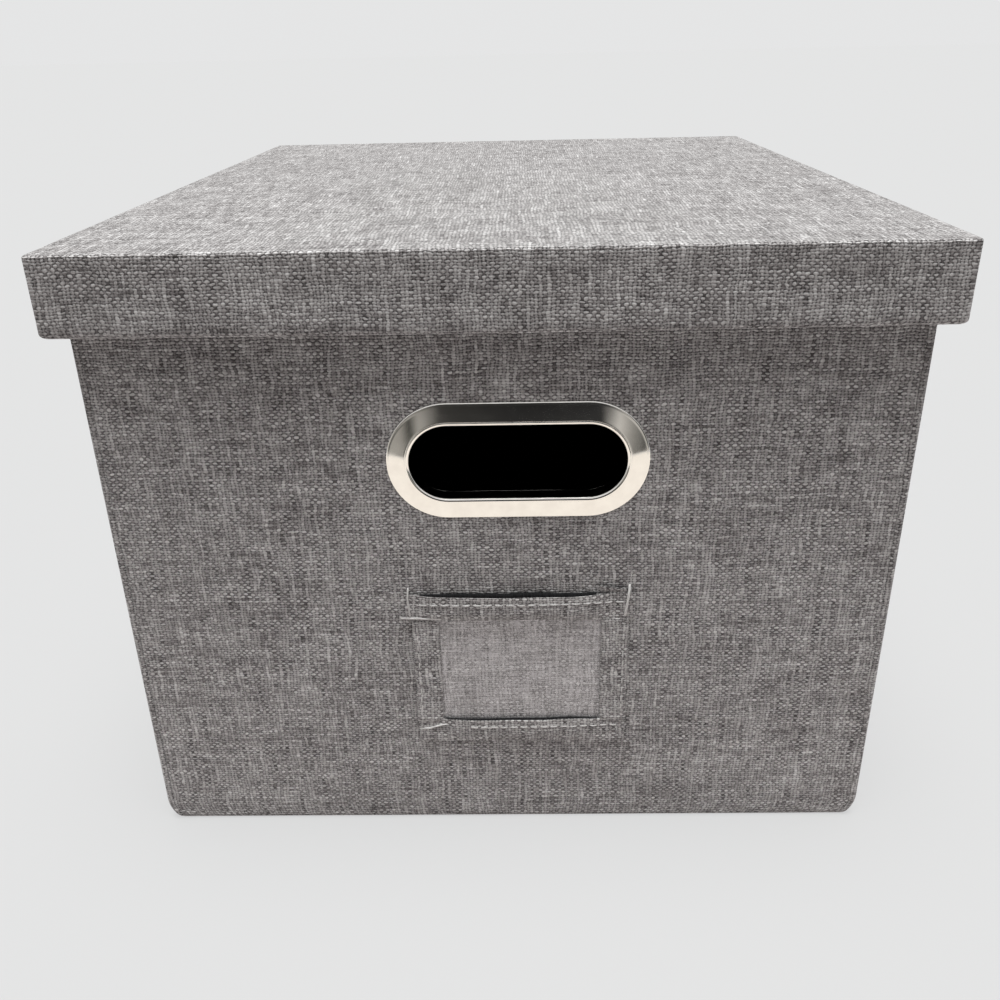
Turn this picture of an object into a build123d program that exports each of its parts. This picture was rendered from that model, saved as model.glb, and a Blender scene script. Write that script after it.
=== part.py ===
from build123d import *
import os
from math import acos, cos, sin, sqrt

# File storage box: board walls in a linen cover, with a lift-off lid and a loose floor board.
# Millimetres, +Z up, front towards -Y. The origin is on the floor, under the middle of the box.

# ---- Sheet materials ----
cloth = 0.8  # linen of the covers, the rim facing and the lid
lining = 0.4  # non-woven inside lining
board = 2.8  # greyboard in the four walls
fold_gap = 0.4  # room between two boards at a corner, where the cloth bends
crease_gap = 1.6  # room between the two boards of a long wall, where it folds

# ---- Box body ----
body_width = 315.0
body_depth = 395.0
rim_height = 255.8  # floor to the top of the walls
end_fold = 2.4  # lower edges of the front and rear, where the covers turn under
side_fold_height = 11.0  # the long walls curve in over this height, below their boards
side_fold_depth = 5.0  # how far they have come in at the floor
fold_steps = 4  # flats that stand for each curve
facing_drop = 25.0  # how far the rim facing reaches down inside

# ---- Hanging-file rails on the long walls ----
rail_wall = 0.9
rail_fit = 0.1  # each side of the wall that a rail is pushed over
rail_end_gap = 15.0  # from each end of a rail to the end of the box
rail_inner_leg = 12.0
rail_outer_leg = 9.0
rail_flare = 1.2  # height of the lead-in at the foot of each leg
rail_flare_out = 0.25  # how far the lead-in opens

# ---- Hand holes ----
hand_hole_width = 84.0
hand_hole_height = 30.0
hand_hole_drop = 77.3  # top of the walls down to the middle of both hand holes
front_shift = 6.0  # the front hand hole and the label holder sit this far to the right
flange_width = 9.0
flange_rise = 2.3  # top of the rolled bead above the linen
flange_crown = 1.9  # highest part of the flange, between the bead and the lip
flange_lip = 0.5  # thickness of the flange at its outer edge
bead_width = 1.5  # rolled edge round the hole
bead_top = 0.5  # flat top of the bead
grommet_wall = 0.7
grommet_fit = 0.3  # room round the collar in the wall and in the back plate
plate_width = 7.0
plate_wall = 0.8
tab_width = 7.0
tab_length = 3.5
tab_spacing = 24.0
tab_rows = 3  # clinch tabs along each straight side

# ---- Label holder on the front ----
window_width = 68.0
window_height = 50.0
window_level = 82.0  # floor to the middle of the window
side_tape = 11.0
top_tape = 13.0
bottom_tape = 12.5
top_tape_overhang = 2.5  # past the side tapes, at each end
tape = 0.6  # a tape over the film
tape_bow = 1.1  # how far the free top tape stands out in the middle
film = 0.2
card_gap = 0.4  # pocket for a card, behind the film
film_tuck = 5.0  # film under each tape
film_fit = 0.3
film_top_tuck = 10.0  # film behind the top tape

# ---- Loose floor board ----
insert_board = 2.5
insert_seat = 0.3  # above the bottom lining
insert_side_gap = 2.0  # to the lining of the long walls
insert_end_gap = 3.5  # to the lining of the end walls, clear of the grommet tabs
insert_turn = 15.0  # wrap turned under the board

# ---- Lid ----
lid_gap = 3.9  # box wall to the lining of the skirt
lid_seat = 0.3  # above the rails
lid_skirt = 30.0  # outside height
lid_top_board = 2.8
lid_skirt_board = 2.4
lid_corner_radius = 3.2
lid_edge_bevel = 1.2  # round the top
lid_foot_bevel = 2.0  # lower edge of the skirt, where the cloth turns in
lid_turn_in = 15.0  # cloth turned up inside the skirt
lid_board_gap = 0.2  # round the top board

# ---- Levels and half sizes that follow ----
wall = cloth + board + lining
corner_radius = cloth + board + fold_gap
half_width = body_width / 2
half_depth = body_depth / 2
seam_x = half_width - corner_radius  # seams between the front and side covers
seam_y = half_depth - corner_radius
board_face_x = half_width - cloth - board  # inner faces of the boards
board_face_y = half_depth - cloth - board
lining_face_x = board_face_x - lining
lining_face_y = board_face_y - lining
facing_face_x = board_face_x - cloth
facing_face_y = board_face_y - cloth
board_top = rim_height - cloth
facing_foot = rim_height - facing_drop
lining_floor = cloth + lining
side_board_foot = side_fold_height + cloth
hand_hole_level = rim_height - hand_hole_drop
rail_top = rim_height + rail_wall
lid_ceiling = rail_top + lid_seat
lid_top = lid_ceiling + lining + lid_top_board + cloth
lid_foot = lid_top - lid_skirt
lid_wall = lining + lid_skirt_board + cloth
lid_width = body_width + 2 * (lid_gap + lid_wall)
lid_depth = body_depth + 2 * (lid_gap + lid_wall)

front_face = Plane(origin=(front_shift, -half_depth, hand_hole_level), x_dir=(1, 0, 0), z_dir=(0, -1, 0))
rear_face = Plane(origin=(0, half_depth, hand_hole_level), x_dir=(-1, 0, 0), z_dir=(0, 1, 0))
label_face = Plane(origin=(front_shift, -half_depth, window_level), x_dir=(1, 0, 0), z_dir=(0, -1, 0))

os.makedirs("parts", exist_ok=True)


def write(part, name):
    """Labels a finished piece and writes it as parts/NAME.step."""
    part.label = name
    export_step(part, f"parts/{name}.step")


def folded_outline(plane, half, depth, height, inset=0):
    """A wall-to-wall section whose sides come in by depth over the lowest height, in flats."""
    radius = (height**2 + depth**2) / (2 * depth)
    turn = acos(1 - depth / radius)
    right = [(half, rim_height + cloth)]
    for step in range(fold_steps + 1):
        angle = turn * step / fold_steps
        right.append((half - radius + radius * cos(angle), height - radius * sin(angle)))
    left = [(-x, z) for x, z in reversed(right)]
    with BuildSketch(plane) as outline:
        with BuildLine():
            Polyline(*right, *left, close=True)
        make_face()
        if inset:
            offset(amount=-inset, kind=Kind.INTERSECTION)
    return outline.sketch


def body_form(inset):
    """The outside of the box moved in by inset, up to the top of the boards."""
    front_view = folded_outline(Plane.XZ, half_width, side_fold_depth, side_fold_height, inset)
    side_view = folded_outline(Plane.YZ, half_depth, end_fold, end_fold, inset)
    with BuildPart() as form:
        extrude(front_view, amount=half_depth, both=True)
        extrude(side_view, amount=half_width, both=True, mode=Mode.INTERSECT)
        with BuildSketch(Plane.XY):
            RectangleRounded(body_width - 2 * inset, body_depth - 2 * inset, corner_radius - inset)
        extrude(amount=board_top, mode=Mode.INTERSECT)
    return form.part


def wall_cut(face):
    """The stadium cut through a wall for a grommet's collar."""
    grow = 2 * (grommet_wall + grommet_fit)
    with BuildPart() as cut:
        with BuildSketch(face.offset(cloth)):
            SlotOverall(hand_hole_width + grow, hand_hole_height + grow)
        extrude(amount=-(wall + 2 * cloth))
    return cut.part


body_outside = body_form(0)
body_inside = body_form(cloth)
hand_cuts = {"front": wall_cut(front_face), "rear": wall_cut(rear_face)}


# ---- Linen covers: one cloth per wall, turned under at the floor ----
def cover(name, low_x, high_x, low_y, high_y, between_seams, cut=None):
    """A wall's cloth: the linen skin within these limits, on one side of the upright seams."""
    with BuildPart() as skin:
        add(body_outside)
        add(body_inside, mode=Mode.SUBTRACT)
        add(seam_core, mode=Mode.INTERSECT if between_seams else Mode.SUBTRACT)
        with BuildSketch(Plane.XY):
            with Locations(((low_x + high_x) / 2, (low_y + high_y) / 2)):
                Rectangle(high_x - low_x, high_y - low_y)
        extrude(amount=board_top, mode=Mode.INTERSECT)
        if cut:
            add(cut, mode=Mode.SUBTRACT)
    write(skin.part, name)


with BuildPart() as core:
    seam_view = folded_outline(Plane.XZ, seam_x, side_fold_depth, side_fold_height)
    extrude(seam_view, amount=half_depth + cloth, both=True)
seam_core = core.part
cover("front_cover", -seam_x, seam_x, -half_depth, -seam_y, True, hand_cuts["front"])
cover("rear_cover", -seam_x, seam_x, seam_y, half_depth, True, hand_cuts["rear"])
cover("left_cover", -half_width, 0, -half_depth, half_depth, False)
cover("right_cover", 0, half_width, -half_depth, half_depth, False)
cover("bottom_cover", -seam_x, seam_x, -seam_y, seam_y, True)

with BuildPart() as rim_facing:
    with BuildSketch(Plane.XY.offset(board_top)):
        RectangleRounded(body_width, body_depth, corner_radius)
    extrude(amount=cloth)
    with BuildSketch(Plane.XY.offset(facing_foot)):
        RectangleRounded(2 * board_face_x, 2 * board_face_y, 2 * cloth)
    extrude(amount=board_top - facing_foot)
    with BuildSketch(Plane.XY.offset(facing_foot)):
        RectangleRounded(2 * facing_face_x, 2 * facing_face_y, cloth)
    extrude(amount=facing_drop, mode=Mode.SUBTRACT)
write(rim_facing.part, "rim_facing")


# ---- Stiffening boards ----
def end_board(name, middle_y, cut):
    """A short wall's board, with its hand hole."""
    with BuildPart() as stiffener:
        with BuildSketch(Plane.XY.offset(cloth)):
            with Locations((0, middle_y)):
                Rectangle(2 * seam_x, board)
        extrude(amount=board_top - cloth)
        add(seam_core, mode=Mode.INTERSECT)
        add(body_inside, mode=Mode.INTERSECT)
        add(cut, mode=Mode.SUBTRACT)
    write(stiffener.part, name)


def side_board(name, side, end):
    """Half of a long wall's board, from the crease in the middle to one corner."""
    length = seam_y - crease_gap / 2
    middle_x = side * (board_face_x + board / 2)
    middle_y = end * (seam_y + crease_gap / 2) / 2
    with BuildPart() as stiffener:
        with BuildSketch(Plane.XY.offset(side_board_foot)):
            with Locations((middle_x, middle_y)):
                Rectangle(board, length)
        extrude(amount=board_top - side_board_foot)
    write(stiffener.part, name)


end_board("front_board", -(board_face_y + board / 2), hand_cuts["front"])
end_board("rear_board", board_face_y + board / 2, hand_cuts["rear"])
side_board("left_front_board", -1, -1)
side_board("left_rear_board", -1, 1)
side_board("right_front_board", 1, -1)
side_board("right_rear_board", 1, 1)


# ---- Inside lining ----
def wall_lining(name, middle_x, middle_y, size_x, size_y, cut=None):
    """Lining of one wall, from the floor to the foot of the rim facing."""
    with BuildPart() as sheet:
        with BuildSketch(Plane.XY.offset(cloth)):
            with Locations((middle_x, middle_y)):
                Rectangle(size_x, size_y)
        extrude(amount=facing_foot - cloth)
        add(body_inside, mode=Mode.INTERSECT)
        if cut:
            add(cut, mode=Mode.SUBTRACT)
    write(sheet.part, name)


end_middle = board_face_y - lining / 2
side_middle = board_face_x - lining / 2
wall_lining("front_lining", 0, -end_middle, 2 * lining_face_x, lining, hand_cuts["front"])
wall_lining("rear_lining", 0, end_middle, 2 * lining_face_x, lining, hand_cuts["rear"])
wall_lining("left_lining", -side_middle, 0, lining, 2 * lining_face_y)
wall_lining("right_lining", side_middle, 0, lining, 2 * lining_face_y)

with BuildPart() as bottom_lining:
    with BuildSketch(Plane.XY.offset(cloth)):
        Rectangle(2 * lining_face_x, 2 * lining_face_y)
    extrude(amount=lining)
    add(body_inside, mode=Mode.INTERSECT)
write(bottom_lining.part, "bottom_lining")


# ---- Rails that carry hanging folders and keep the long walls straight ----
def file_rail(name, side):
    """An extruded channel pushed over the top of a long wall."""
    outer = half_width + rail_fit
    inner = facing_face_x - rail_fit
    outer_foot = rail_top - rail_outer_leg
    inner_foot = rail_top - rail_inner_leg
    with BuildPart() as rail:
        with BuildSketch(Plane.XZ.offset(half_depth - rail_end_gap)):
            with BuildLine():
                Polyline(
                    (side * outer, rim_height),
                    (side * outer, outer_foot + rail_flare),
                    (side * (outer + rail_flare_out), outer_foot),
                    (side * (outer + rail_flare_out + rail_wall), outer_foot),
                    (side * (outer + rail_wall), outer_foot + rail_flare),
                    (side * (outer + rail_wall), rail_top),
                    (side * (inner - rail_wall), rail_top),
                    (side * (inner - rail_wall), inner_foot + rail_flare),
                    (side * (inner - rail_wall - rail_flare_out), inner_foot),
                    (side * (inner - rail_flare_out), inner_foot),
                    (side * inner, inner_foot + rail_flare),
                    (side * inner, rim_height),
                    close=True,
                )
            make_face()
        extrude(amount=-2 * (half_depth - rail_end_gap))
        crown = rail.edges().filter_by(Axis.Y).group_by(Axis.Z)[-1]
        fillet(crown, rail_wall * 0.8)
    write(rail.part, name)


file_rail("left_file_rail", -1)
file_rail("right_file_rail", 1)


# ---- Hand-hole grommets ----
def grommet(name, face):
    """Pressed metal bezel with a rolled bead, a collar through the wall and clinched tabs."""
    radius = hand_hole_height / 2
    run = hand_hole_width / 2 - radius
    back = -(wall + plate_wall)
    bead_side = (bead_width - bead_top) / 2
    crown_at = (bead_width + flange_width) / 2
    end_centre = face.from_local_coords((run, 0, 0))
    section = Plane(
        origin=face.from_local_coords((run, radius, 0)),
        x_dir=face.y_dir,
        z_dir=face.x_dir,
    )
    with BuildPart() as bezel:
        with BuildSketch(section) as profile:
            with BuildLine():
                Polyline(
                    (0, back - grommet_wall),
                    (0, flange_crown),
                    (bead_side, flange_rise),
                    (bead_side + bead_top, flange_rise),
                    (bead_width, flange_crown),
                    (crown_at, (flange_crown + flange_lip) / 2 + grommet_wall / 2),
                    (flange_width, flange_lip),
                    (flange_width, 0),
                    (flange_width - grommet_wall, 0),
                    (grommet_wall, flange_crown - grommet_wall),
                    (grommet_wall, back - grommet_wall),
                    close=True,
                )
            make_face()
        extrude(profile.sketch, amount=-2 * run)
        revolve(profile.sketch, Axis(end_centre, face.z_dir), revolution_arc=-180)
        mirror(about=Plane(origin=face.origin, z_dir=face.x_dir))
        mirror(about=Plane(origin=face.origin, z_dir=face.y_dir))
        with BuildSketch(face.offset(back)):
            with GridLocations(tab_spacing, 2 * radius + tab_length, tab_rows, 2):
                Rectangle(tab_width, tab_length)
            with GridLocations(hand_hole_width + tab_length, 1, 2, 1):
                Rectangle(tab_length, tab_width)
        extrude(amount=-grommet_wall)
    write(bezel.part, name)


def grommet_plate(name, face):
    """Stadium washer behind the lining, under the clinched tabs."""
    inner = 2 * (grommet_wall + grommet_fit)
    outer = 2 * plate_width
    with BuildPart() as plate:
        with BuildSketch(face.offset(-wall)):
            SlotOverall(hand_hole_width + outer, hand_hole_height + outer)
            SlotOverall(hand_hole_width + inner, hand_hole_height + inner, mode=Mode.SUBTRACT)
        extrude(amount=-plate_wall)
    write(plate.part, name)


grommet("front_grommet", front_face)
grommet("rear_grommet", rear_face)
grommet_plate("front_grommet_plate", front_face)
grommet_plate("rear_grommet_plate", rear_face)

# ---- Label holder: four linen tapes round a clear film, open at the top ----
film_level = card_gap + film
film_half = window_width / 2 + film_tuck
holder_width = window_width + 2 * side_tape


def side_label_tape(name, side):
    """A tape beside the window, over the film's edge and down on the linen."""
    middle = side * (window_width + side_tape) / 2
    with BuildPart() as strip:
        with BuildSketch(label_face):
            with Locations((middle, 0)):
                Rectangle(side_tape, window_height)
        extrude(amount=film_level + tape)
        with BuildSketch(label_face):
            Rectangle(2 * (film_half + film_fit), window_height)
        extrude(amount=film_level, mode=Mode.SUBTRACT)
    write(strip.part, name)


side_label_tape("label_tape_left", -1)
side_label_tape("label_tape_right", 1)

with BuildPart() as label_tape_bottom:
    with BuildSketch(label_face):
        with Locations((0, -(window_height + bottom_tape) / 2)):
            Rectangle(holder_width, bottom_tape)
    extrude(amount=film_level + tape)
    with BuildSketch(label_face):
        Rectangle(2 * (film_half + film_fit), window_height + 2 * (film_tuck + film_fit))
    extrude(amount=film_level, mode=Mode.SUBTRACT)
write(label_tape_bottom.part, "label_tape_bottom")

# The top tape is sewn down at its ends only and bows out between them.
tape_end = holder_width / 2 + top_tape_overhang
tape_foot = film_half + film_fit
tape_plan = Plane(
    origin=label_face.from_local_coords((0, window_height / 2, 0)),
    x_dir=label_face.x_dir,
    z_dir=label_face.y_dir,
)
with BuildPart() as label_tape_top:
    with BuildSketch(tape_plan):
        with BuildLine():
            Line((-tape_end, 0), (-tape_foot, 0))
            Line((-tape_foot, 0), (-tape_foot, -film_level))
            ThreePointArc((-tape_foot, -film_level), (0, -film_level - tape_bow), (tape_foot, -film_level))
            Line((tape_foot, -film_level), (tape_foot, 0))
            Line((tape_foot, 0), (tape_end, 0))
            Line((tape_end, 0), (tape_end, -film_level - tape))
            ThreePointArc(
                (tape_end, -film_level - tape),
                (0, -film_level - tape_bow - tape),
                (-tape_end, -film_level - tape),
            )
            Line((-tape_end, -film_level - tape), (-tape_end, 0))
        make_face()
    extrude(amount=top_tape)
write(label_tape_top.part, "label_tape_top")

film_height = window_height + film_tuck + film_top_tuck
with BuildPart() as label_window:
    with BuildSketch(label_face.offset(card_gap)):
        with Locations((0, (film_top_tuck - film_tuck) / 2)):
            Rectangle(2 * film_half, film_height)
    extrude(amount=film)
write(label_window.part, "label_window")

# ---- Loose floor board in its own wrap ----
insert_half_x = lining_face_x - insert_side_gap
insert_half_y = lining_face_y - insert_end_gap
insert_foot = lining_floor + insert_seat
insert_thickness = insert_board + 2 * lining

with BuildPart() as floor_board:
    with BuildSketch(Plane.XY.offset(insert_foot + lining)):
        Rectangle(2 * (insert_half_x - lining), 2 * (insert_half_y - lining))
    extrude(amount=insert_board)
write(floor_board.part, "floor_board")

with BuildPart() as floor_board_wrap:
    with BuildSketch(Plane.XY.offset(insert_foot)):
        Rectangle(2 * insert_half_x, 2 * insert_half_y)
    extrude(amount=insert_thickness)
    with BuildSketch(Plane.XY.offset(insert_foot)):
        Rectangle(2 * (insert_half_x - insert_turn), 2 * (insert_half_y - insert_turn))
    extrude(amount=lining, mode=Mode.SUBTRACT)
    with BuildSketch(Plane.XY.offset(insert_foot + lining)):
        Rectangle(2 * (insert_half_x - lining), 2 * (insert_half_y - lining))
    extrude(amount=insert_board, mode=Mode.SUBTRACT)
write(floor_board_wrap.part, "floor_board_wrap")

# ---- Lid ----
lid_board_out_x = lid_width / 2 - cloth
lid_board_out_y = lid_depth / 2 - cloth
lid_board_in_x = lid_board_out_x - lid_skirt_board
lid_board_in_y = lid_board_out_y - lid_skirt_board
bevel_loss = 2 - sqrt(2)  # how much shorter a bevel gets for each millimetre of inward offset
lid_board_foot = lid_foot + lid_foot_bevel + (1 - bevel_loss) * cloth
lid_board_top = lid_top - lid_edge_bevel - (1 - bevel_loss) * cloth


def lid_form(inset):
    """The outside of the lid as a closed block, moved in by inset."""
    with BuildPart() as form:
        with BuildSketch(Plane.XY.offset(lid_foot + inset)):
            RectangleRounded(lid_width - 2 * inset, lid_depth - 2 * inset, lid_corner_radius - inset)
        extrude(amount=lid_skirt - 2 * inset)
        chamfer(form.edges().group_by(Axis.Z)[0], lid_foot_bevel - bevel_loss * inset)
        chamfer(form.edges().group_by(Axis.Z)[-1], lid_edge_bevel - bevel_loss * inset)
    return form.part


lid_outside = lid_form(0)
lid_inside = lid_form(cloth)

with BuildPart() as lid_cover:
    add(lid_outside)
    add(lid_inside, mode=Mode.SUBTRACT)
    with BuildSketch(Plane.XY.offset(lid_foot + cloth)):
        Rectangle(2 * lid_board_in_x, 2 * lid_board_in_y)
    extrude(amount=lid_turn_in - cloth)
    with BuildSketch(Plane.XY.offset(lid_foot)):
        RectangleRounded(2 * (lid_board_in_x - cloth), 2 * (lid_board_in_y - cloth), cloth)
    extrude(amount=lid_turn_in, mode=Mode.SUBTRACT)
write(lid_cover.part, "lid_cover")

with BuildPart() as lid_lining:
    with BuildSketch(Plane.XY.offset(lid_foot + lid_turn_in)):
        Rectangle(2 * lid_board_in_x, 2 * lid_board_in_y)
    extrude(amount=lid_ceiling + lining - lid_foot - lid_turn_in)
    with BuildSketch(Plane.XY.offset(lid_foot + lid_turn_in)):
        Rectangle(2 * (lid_board_in_x - lining), 2 * (lid_board_in_y - lining))
    extrude(amount=lid_ceiling - lid_foot - lid_turn_in, mode=Mode.SUBTRACT)
write(lid_lining.part, "lid_lining")

with BuildPart() as lid_board:
    with BuildSketch(Plane.XY.offset(lid_ceiling + lining)):
        Rectangle(2 * (lid_board_in_x - lid_board_gap), 2 * (lid_board_in_y - lid_board_gap))
    extrude(amount=lid_top_board)
write(lid_board.part, "lid_top_board")


def skirt_board(name, middle_x, middle_y, size_x, size_y):
    """One board of the lid's skirt."""
    with BuildPart() as stiffener:
        with BuildSketch(Plane.XY.offset(lid_board_foot)):
            with Locations((middle_x, middle_y)):
                Rectangle(size_x, size_y)
        extrude(amount=lid_board_top - lid_board_foot)
    write(stiffener.part, name)


skirt_x = lid_board_in_x + lid_skirt_board / 2
skirt_y = lid_board_in_y + lid_skirt_board / 2
skirt_end_x = lid_width / 2 - max(lid_corner_radius, cloth + lid_skirt_board)
skirt_end_y = lid_depth / 2 - max(lid_corner_radius, cloth + lid_skirt_board)
skirt_board("lid_front_board", 0, -skirt_y, 2 * skirt_end_x, lid_skirt_board)
skirt_board("lid_rear_board", 0, skirt_y, 2 * skirt_end_x, lid_skirt_board)
skirt_board("lid_left_board", -skirt_x, 0, lid_skirt_board, 2 * skirt_end_y)
skirt_board("lid_right_board", skirt_x, 0, lid_skirt_board, 2 * skirt_end_y)
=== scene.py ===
from math import cos, exp, pi, radians, sin, sqrt

import bmesh
import bpy
import numpy as np
from mathutils import Matrix, Vector, noise

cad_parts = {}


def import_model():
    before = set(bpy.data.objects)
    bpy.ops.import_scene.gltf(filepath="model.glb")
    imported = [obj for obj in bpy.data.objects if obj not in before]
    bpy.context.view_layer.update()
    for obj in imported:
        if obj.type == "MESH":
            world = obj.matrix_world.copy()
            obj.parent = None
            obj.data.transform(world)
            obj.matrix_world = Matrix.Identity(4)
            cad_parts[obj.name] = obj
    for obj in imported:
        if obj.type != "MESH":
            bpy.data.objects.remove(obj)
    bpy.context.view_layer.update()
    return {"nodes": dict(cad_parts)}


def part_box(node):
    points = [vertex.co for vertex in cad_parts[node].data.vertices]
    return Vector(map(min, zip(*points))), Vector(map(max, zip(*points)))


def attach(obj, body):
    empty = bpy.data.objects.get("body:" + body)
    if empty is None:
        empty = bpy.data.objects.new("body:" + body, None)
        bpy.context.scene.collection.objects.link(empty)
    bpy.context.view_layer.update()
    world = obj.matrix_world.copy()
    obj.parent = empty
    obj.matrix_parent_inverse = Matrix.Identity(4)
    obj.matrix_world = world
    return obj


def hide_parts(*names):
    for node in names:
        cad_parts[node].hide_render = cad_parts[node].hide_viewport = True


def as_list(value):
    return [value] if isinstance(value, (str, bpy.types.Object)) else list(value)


# File storage box in grey melange linen. Lengths in this script are millimetres in the row
# frame, and become metres where a mesh, modifier or material is made.
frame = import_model()
nodes = frame["nodes"]
MM = 0.001


def span(node):
    """Lowest and highest corner of a solid, in millimetres."""
    low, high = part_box(node)
    return low / MM, high / MM


def face_centre(node):
    """Middle of a solid, seen from the front."""
    low, high = span(node)
    return (low.x + high.x) / 2, (low.z + high.z) / 2


# ---- Measures that follow the frame ----
CLOTH = 0.7  # thickness of the linen with its backing
RIM_CLOTH = 0.6
BASE_CLOTH = 0.5
LINING = 0.35
TAPE = 0.25
FILM_SHEET = 0.15
CORNER = 2.2  # radius of the body's upright edges
SEAM_INSET = 3.3  # from an upright edge to its seam
PROUD = 0.9  # how far the cloth stands proud of the solids at the sides
END_FOLD = 2.4  # radius of the fold at the foot of the ends
SIDE_FOLD_HEIGHT = 11.0
SIDE_FOLD_DEPTH = 5.0
body_low, body_high = span("rim_facing")
HALF_X = body_high.x
HALF_Y = body_high.y
RIM = body_high.z
FACING_FOOT = body_low.z
WALL_TOP = span("front_cover")[1].z
SEAM_X = HALF_X - SEAM_INSET
SEAM_Y = HALF_Y - CORNER
LINING_X = span("right_lining")[0].x
LINING_Y = span("rear_lining")[0].y
lid_low, lid_high = span("lid_cover")
LID_X = lid_high.x + PROUD
LID_Y = lid_high.y
LID_TOP = lid_high.z
LID_FOOT = lid_low.z
LID_BOARD_X = span("lid_right_board")[0].x  # inner faces of the lid's boards
LID_BOARD_Y = span("lid_rear_board")[0].y
HOLE_WIDTH = 84.0
HOLE_HEIGHT = 30.0
COLLAR_GAP = 1.0  # from the hole's edge to the edge of the cloth behind the flange
FRONT_HOLE = face_centre("front_grommet")
REAR_HOLE = face_centre("rear_grommet")
FACE = -HALF_Y


# ---- Small numeric helpers ----
def ease(low, high, value):
    """Smooth step from 0 at low to 1 at high."""
    t = min(max((value - low) / (high - low), 0.0), 1.0)
    return t * t * (3 - 2 * t)


def bump_line(distance, width):
    """Bell curve: 1 on the line, and low at more than this width from it."""
    return exp(-((distance / width) ** 2))


def arch(x, middle, half):
    """Gape of a slack edge: 1 at its middle and 0 at its ends."""
    return max(0.0, 1 - ((x - middle) / half) ** 2) ** 0.6


def past(value, limit):
    """How far a value is past a limit on either side, with its sign."""
    return max(abs(value) - limit, 0.0) * (1 if value > 0 else -1)


def wobble(x, y, seed, size):
    """Smooth noise from about -1 to 1 with features of this size."""
    return noise.noise(Vector((x / size, y / size, seed * 17.3))) * 1.6


def spread(low, high, step, fine=()):
    """Values from low to high: the fine offsets at both ends, and even steps between."""
    first = [low + f for f in fine]
    last = [high - f for f in reversed(fine)]
    start = first[-1] if first else low
    stop = last[0] if last else high
    count = max(1, round((stop - start) / step))
    middle = [start + (stop - start) * k / count for k in range(count + 1)]
    return first[:-1] + middle + last[1:] if fine else middle


# ---- Mesh helpers ----
PANEL_SHIFT, RING_SHIFT, SHEET_SHIFT = 40.0, 29.0, 31.0  # keep one piece's weave apart from the next


def grid_faces(columns, rows):
    """Quads of a grid of points, row by row."""
    return [
        (j * columns + i, j * columns + i + 1, (j + 1) * columns + i + 1, (j + 1) * columns + i)
        for j in range(rows - 1)
        for i in range(columns - 1)
    ]


def grid_border(columns, rows):
    """Points round the edge of a grid, counter-clockwise."""
    border = list(range(columns)) + [j * columns + columns - 1 for j in range(1, rows)]
    border += [(rows - 1) * columns + i for i in range(columns - 2, -1, -1)]
    return border + [j * columns for j in range(rows - 2, 0, -1)]


def band(faces, uv, here, there, travels, low, high):
    """Quads between two closed rows of points that start at here and there, with their map."""
    count = len(travels) - 1
    for i, (near, far) in enumerate(zip(travels, travels[1:])):
        n = (i + 1) % count
        faces.append((here + i, here + n, there + n, there + i))
        uv.extend(((near, low), (far, low), (far, high), (near, high)))


def join_rings(faces, corner_uv, rings, mapped, inside):
    """Quads between closed rings of points. mapped(ring, station, i, n) is a corner's place."""
    count = len(rings[0])
    for k in range(len(rings) - 1):
        here, there = (k, k + 1) if inside else (k + 1, k)
        for i in range(count):
            n = (i + 1) % count
            corners = ((here, i), (here, n), (there, n), (there, i))
            faces.append(tuple(rings[ring][station] for ring, station in corners))
            corner_uv.extend(mapped(ring, station, i, n) for ring, station in corners)


def make(name, points, faces, uv, material, body="box", node=None, thickness=0.0):
    """A mesh piece in the row frame. uv is in millimetres, one pair for each vertex or corner."""
    mesh = bpy.data.meshes.new(name)
    mesh.from_pydata([(x * MM, y * MM, z * MM) for x, y, z in points], [], faces)
    mesh.update()
    layer = mesh.uv_layers.new(name="Weave")
    uv = np.asarray(uv, dtype=np.float32) * MM
    if len(uv) == len(points):
        corner_vertex = np.zeros(len(mesh.loops), dtype=np.int32)
        mesh.loops.foreach_get("vertex_index", corner_vertex)
        uv = uv[corner_vertex]
    layer.data.foreach_set("uv", uv.ravel())
    mesh.shade_smooth()
    piece = bpy.data.objects.new(name, mesh)
    bpy.context.scene.collection.objects.link(piece)
    piece.data.materials.append(material)
    if thickness:
        shell = piece.modifiers.new("Thickness", "SOLIDIFY")
        shell.thickness = thickness * MM
        shell.offset = -1
    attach(piece, body)
    made_of = material.name.split(".")[0]
    if node:
        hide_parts(node)
    return piece


def without_unused(points, faces, uv):
    """Drops the vertices that no face uses."""
    used = sorted({i for f in faces for i in f})
    new = {old: k for k, old in enumerate(used)}
    kept_faces = [tuple(new[i] for i in f) for f in faces]
    return [points[i] for i in used], kept_faces, [uv[i] for i in used]


def stadium_distance(x, z, width, height):
    """Signed distance from a stadium's outline, and the way out of it."""
    run = (width - height) / 2
    dx = x - min(max(x, -run), run)
    length = sqrt(dx * dx + z * z)
    if length < 1e-9:
        return -height / 2, (0.0, 1.0)
    return length - height / 2, (dx / length, z / length)


def cut_hole(points, faces, uv, flat, hole, moved):
    """Cuts the hand hole out of a sheet. moved(i, da, db) is point i moved on to the hole's edge."""
    width = HOLE_WIDTH + 2 * COLLAR_GAP
    height = HOLE_HEIGHT + 2 * COLLAR_GAP
    signed = [stadium_distance(a - hole[0], b - hole[1], width, height) for a, b in flat]
    kept = [f for f in faces if sum(signed[i][0] for i in f) > 0]
    gone = [f for f in faces if sum(signed[i][0] for i in f) <= 0]
    for i in {i for f in gone for i in f} & {i for f in kept for i in f}:
        d, (na, nb) = signed[i]
        points[i] = moved(i, -na * d, -nb * d)
    return without_unused(points, kept, uv)


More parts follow.
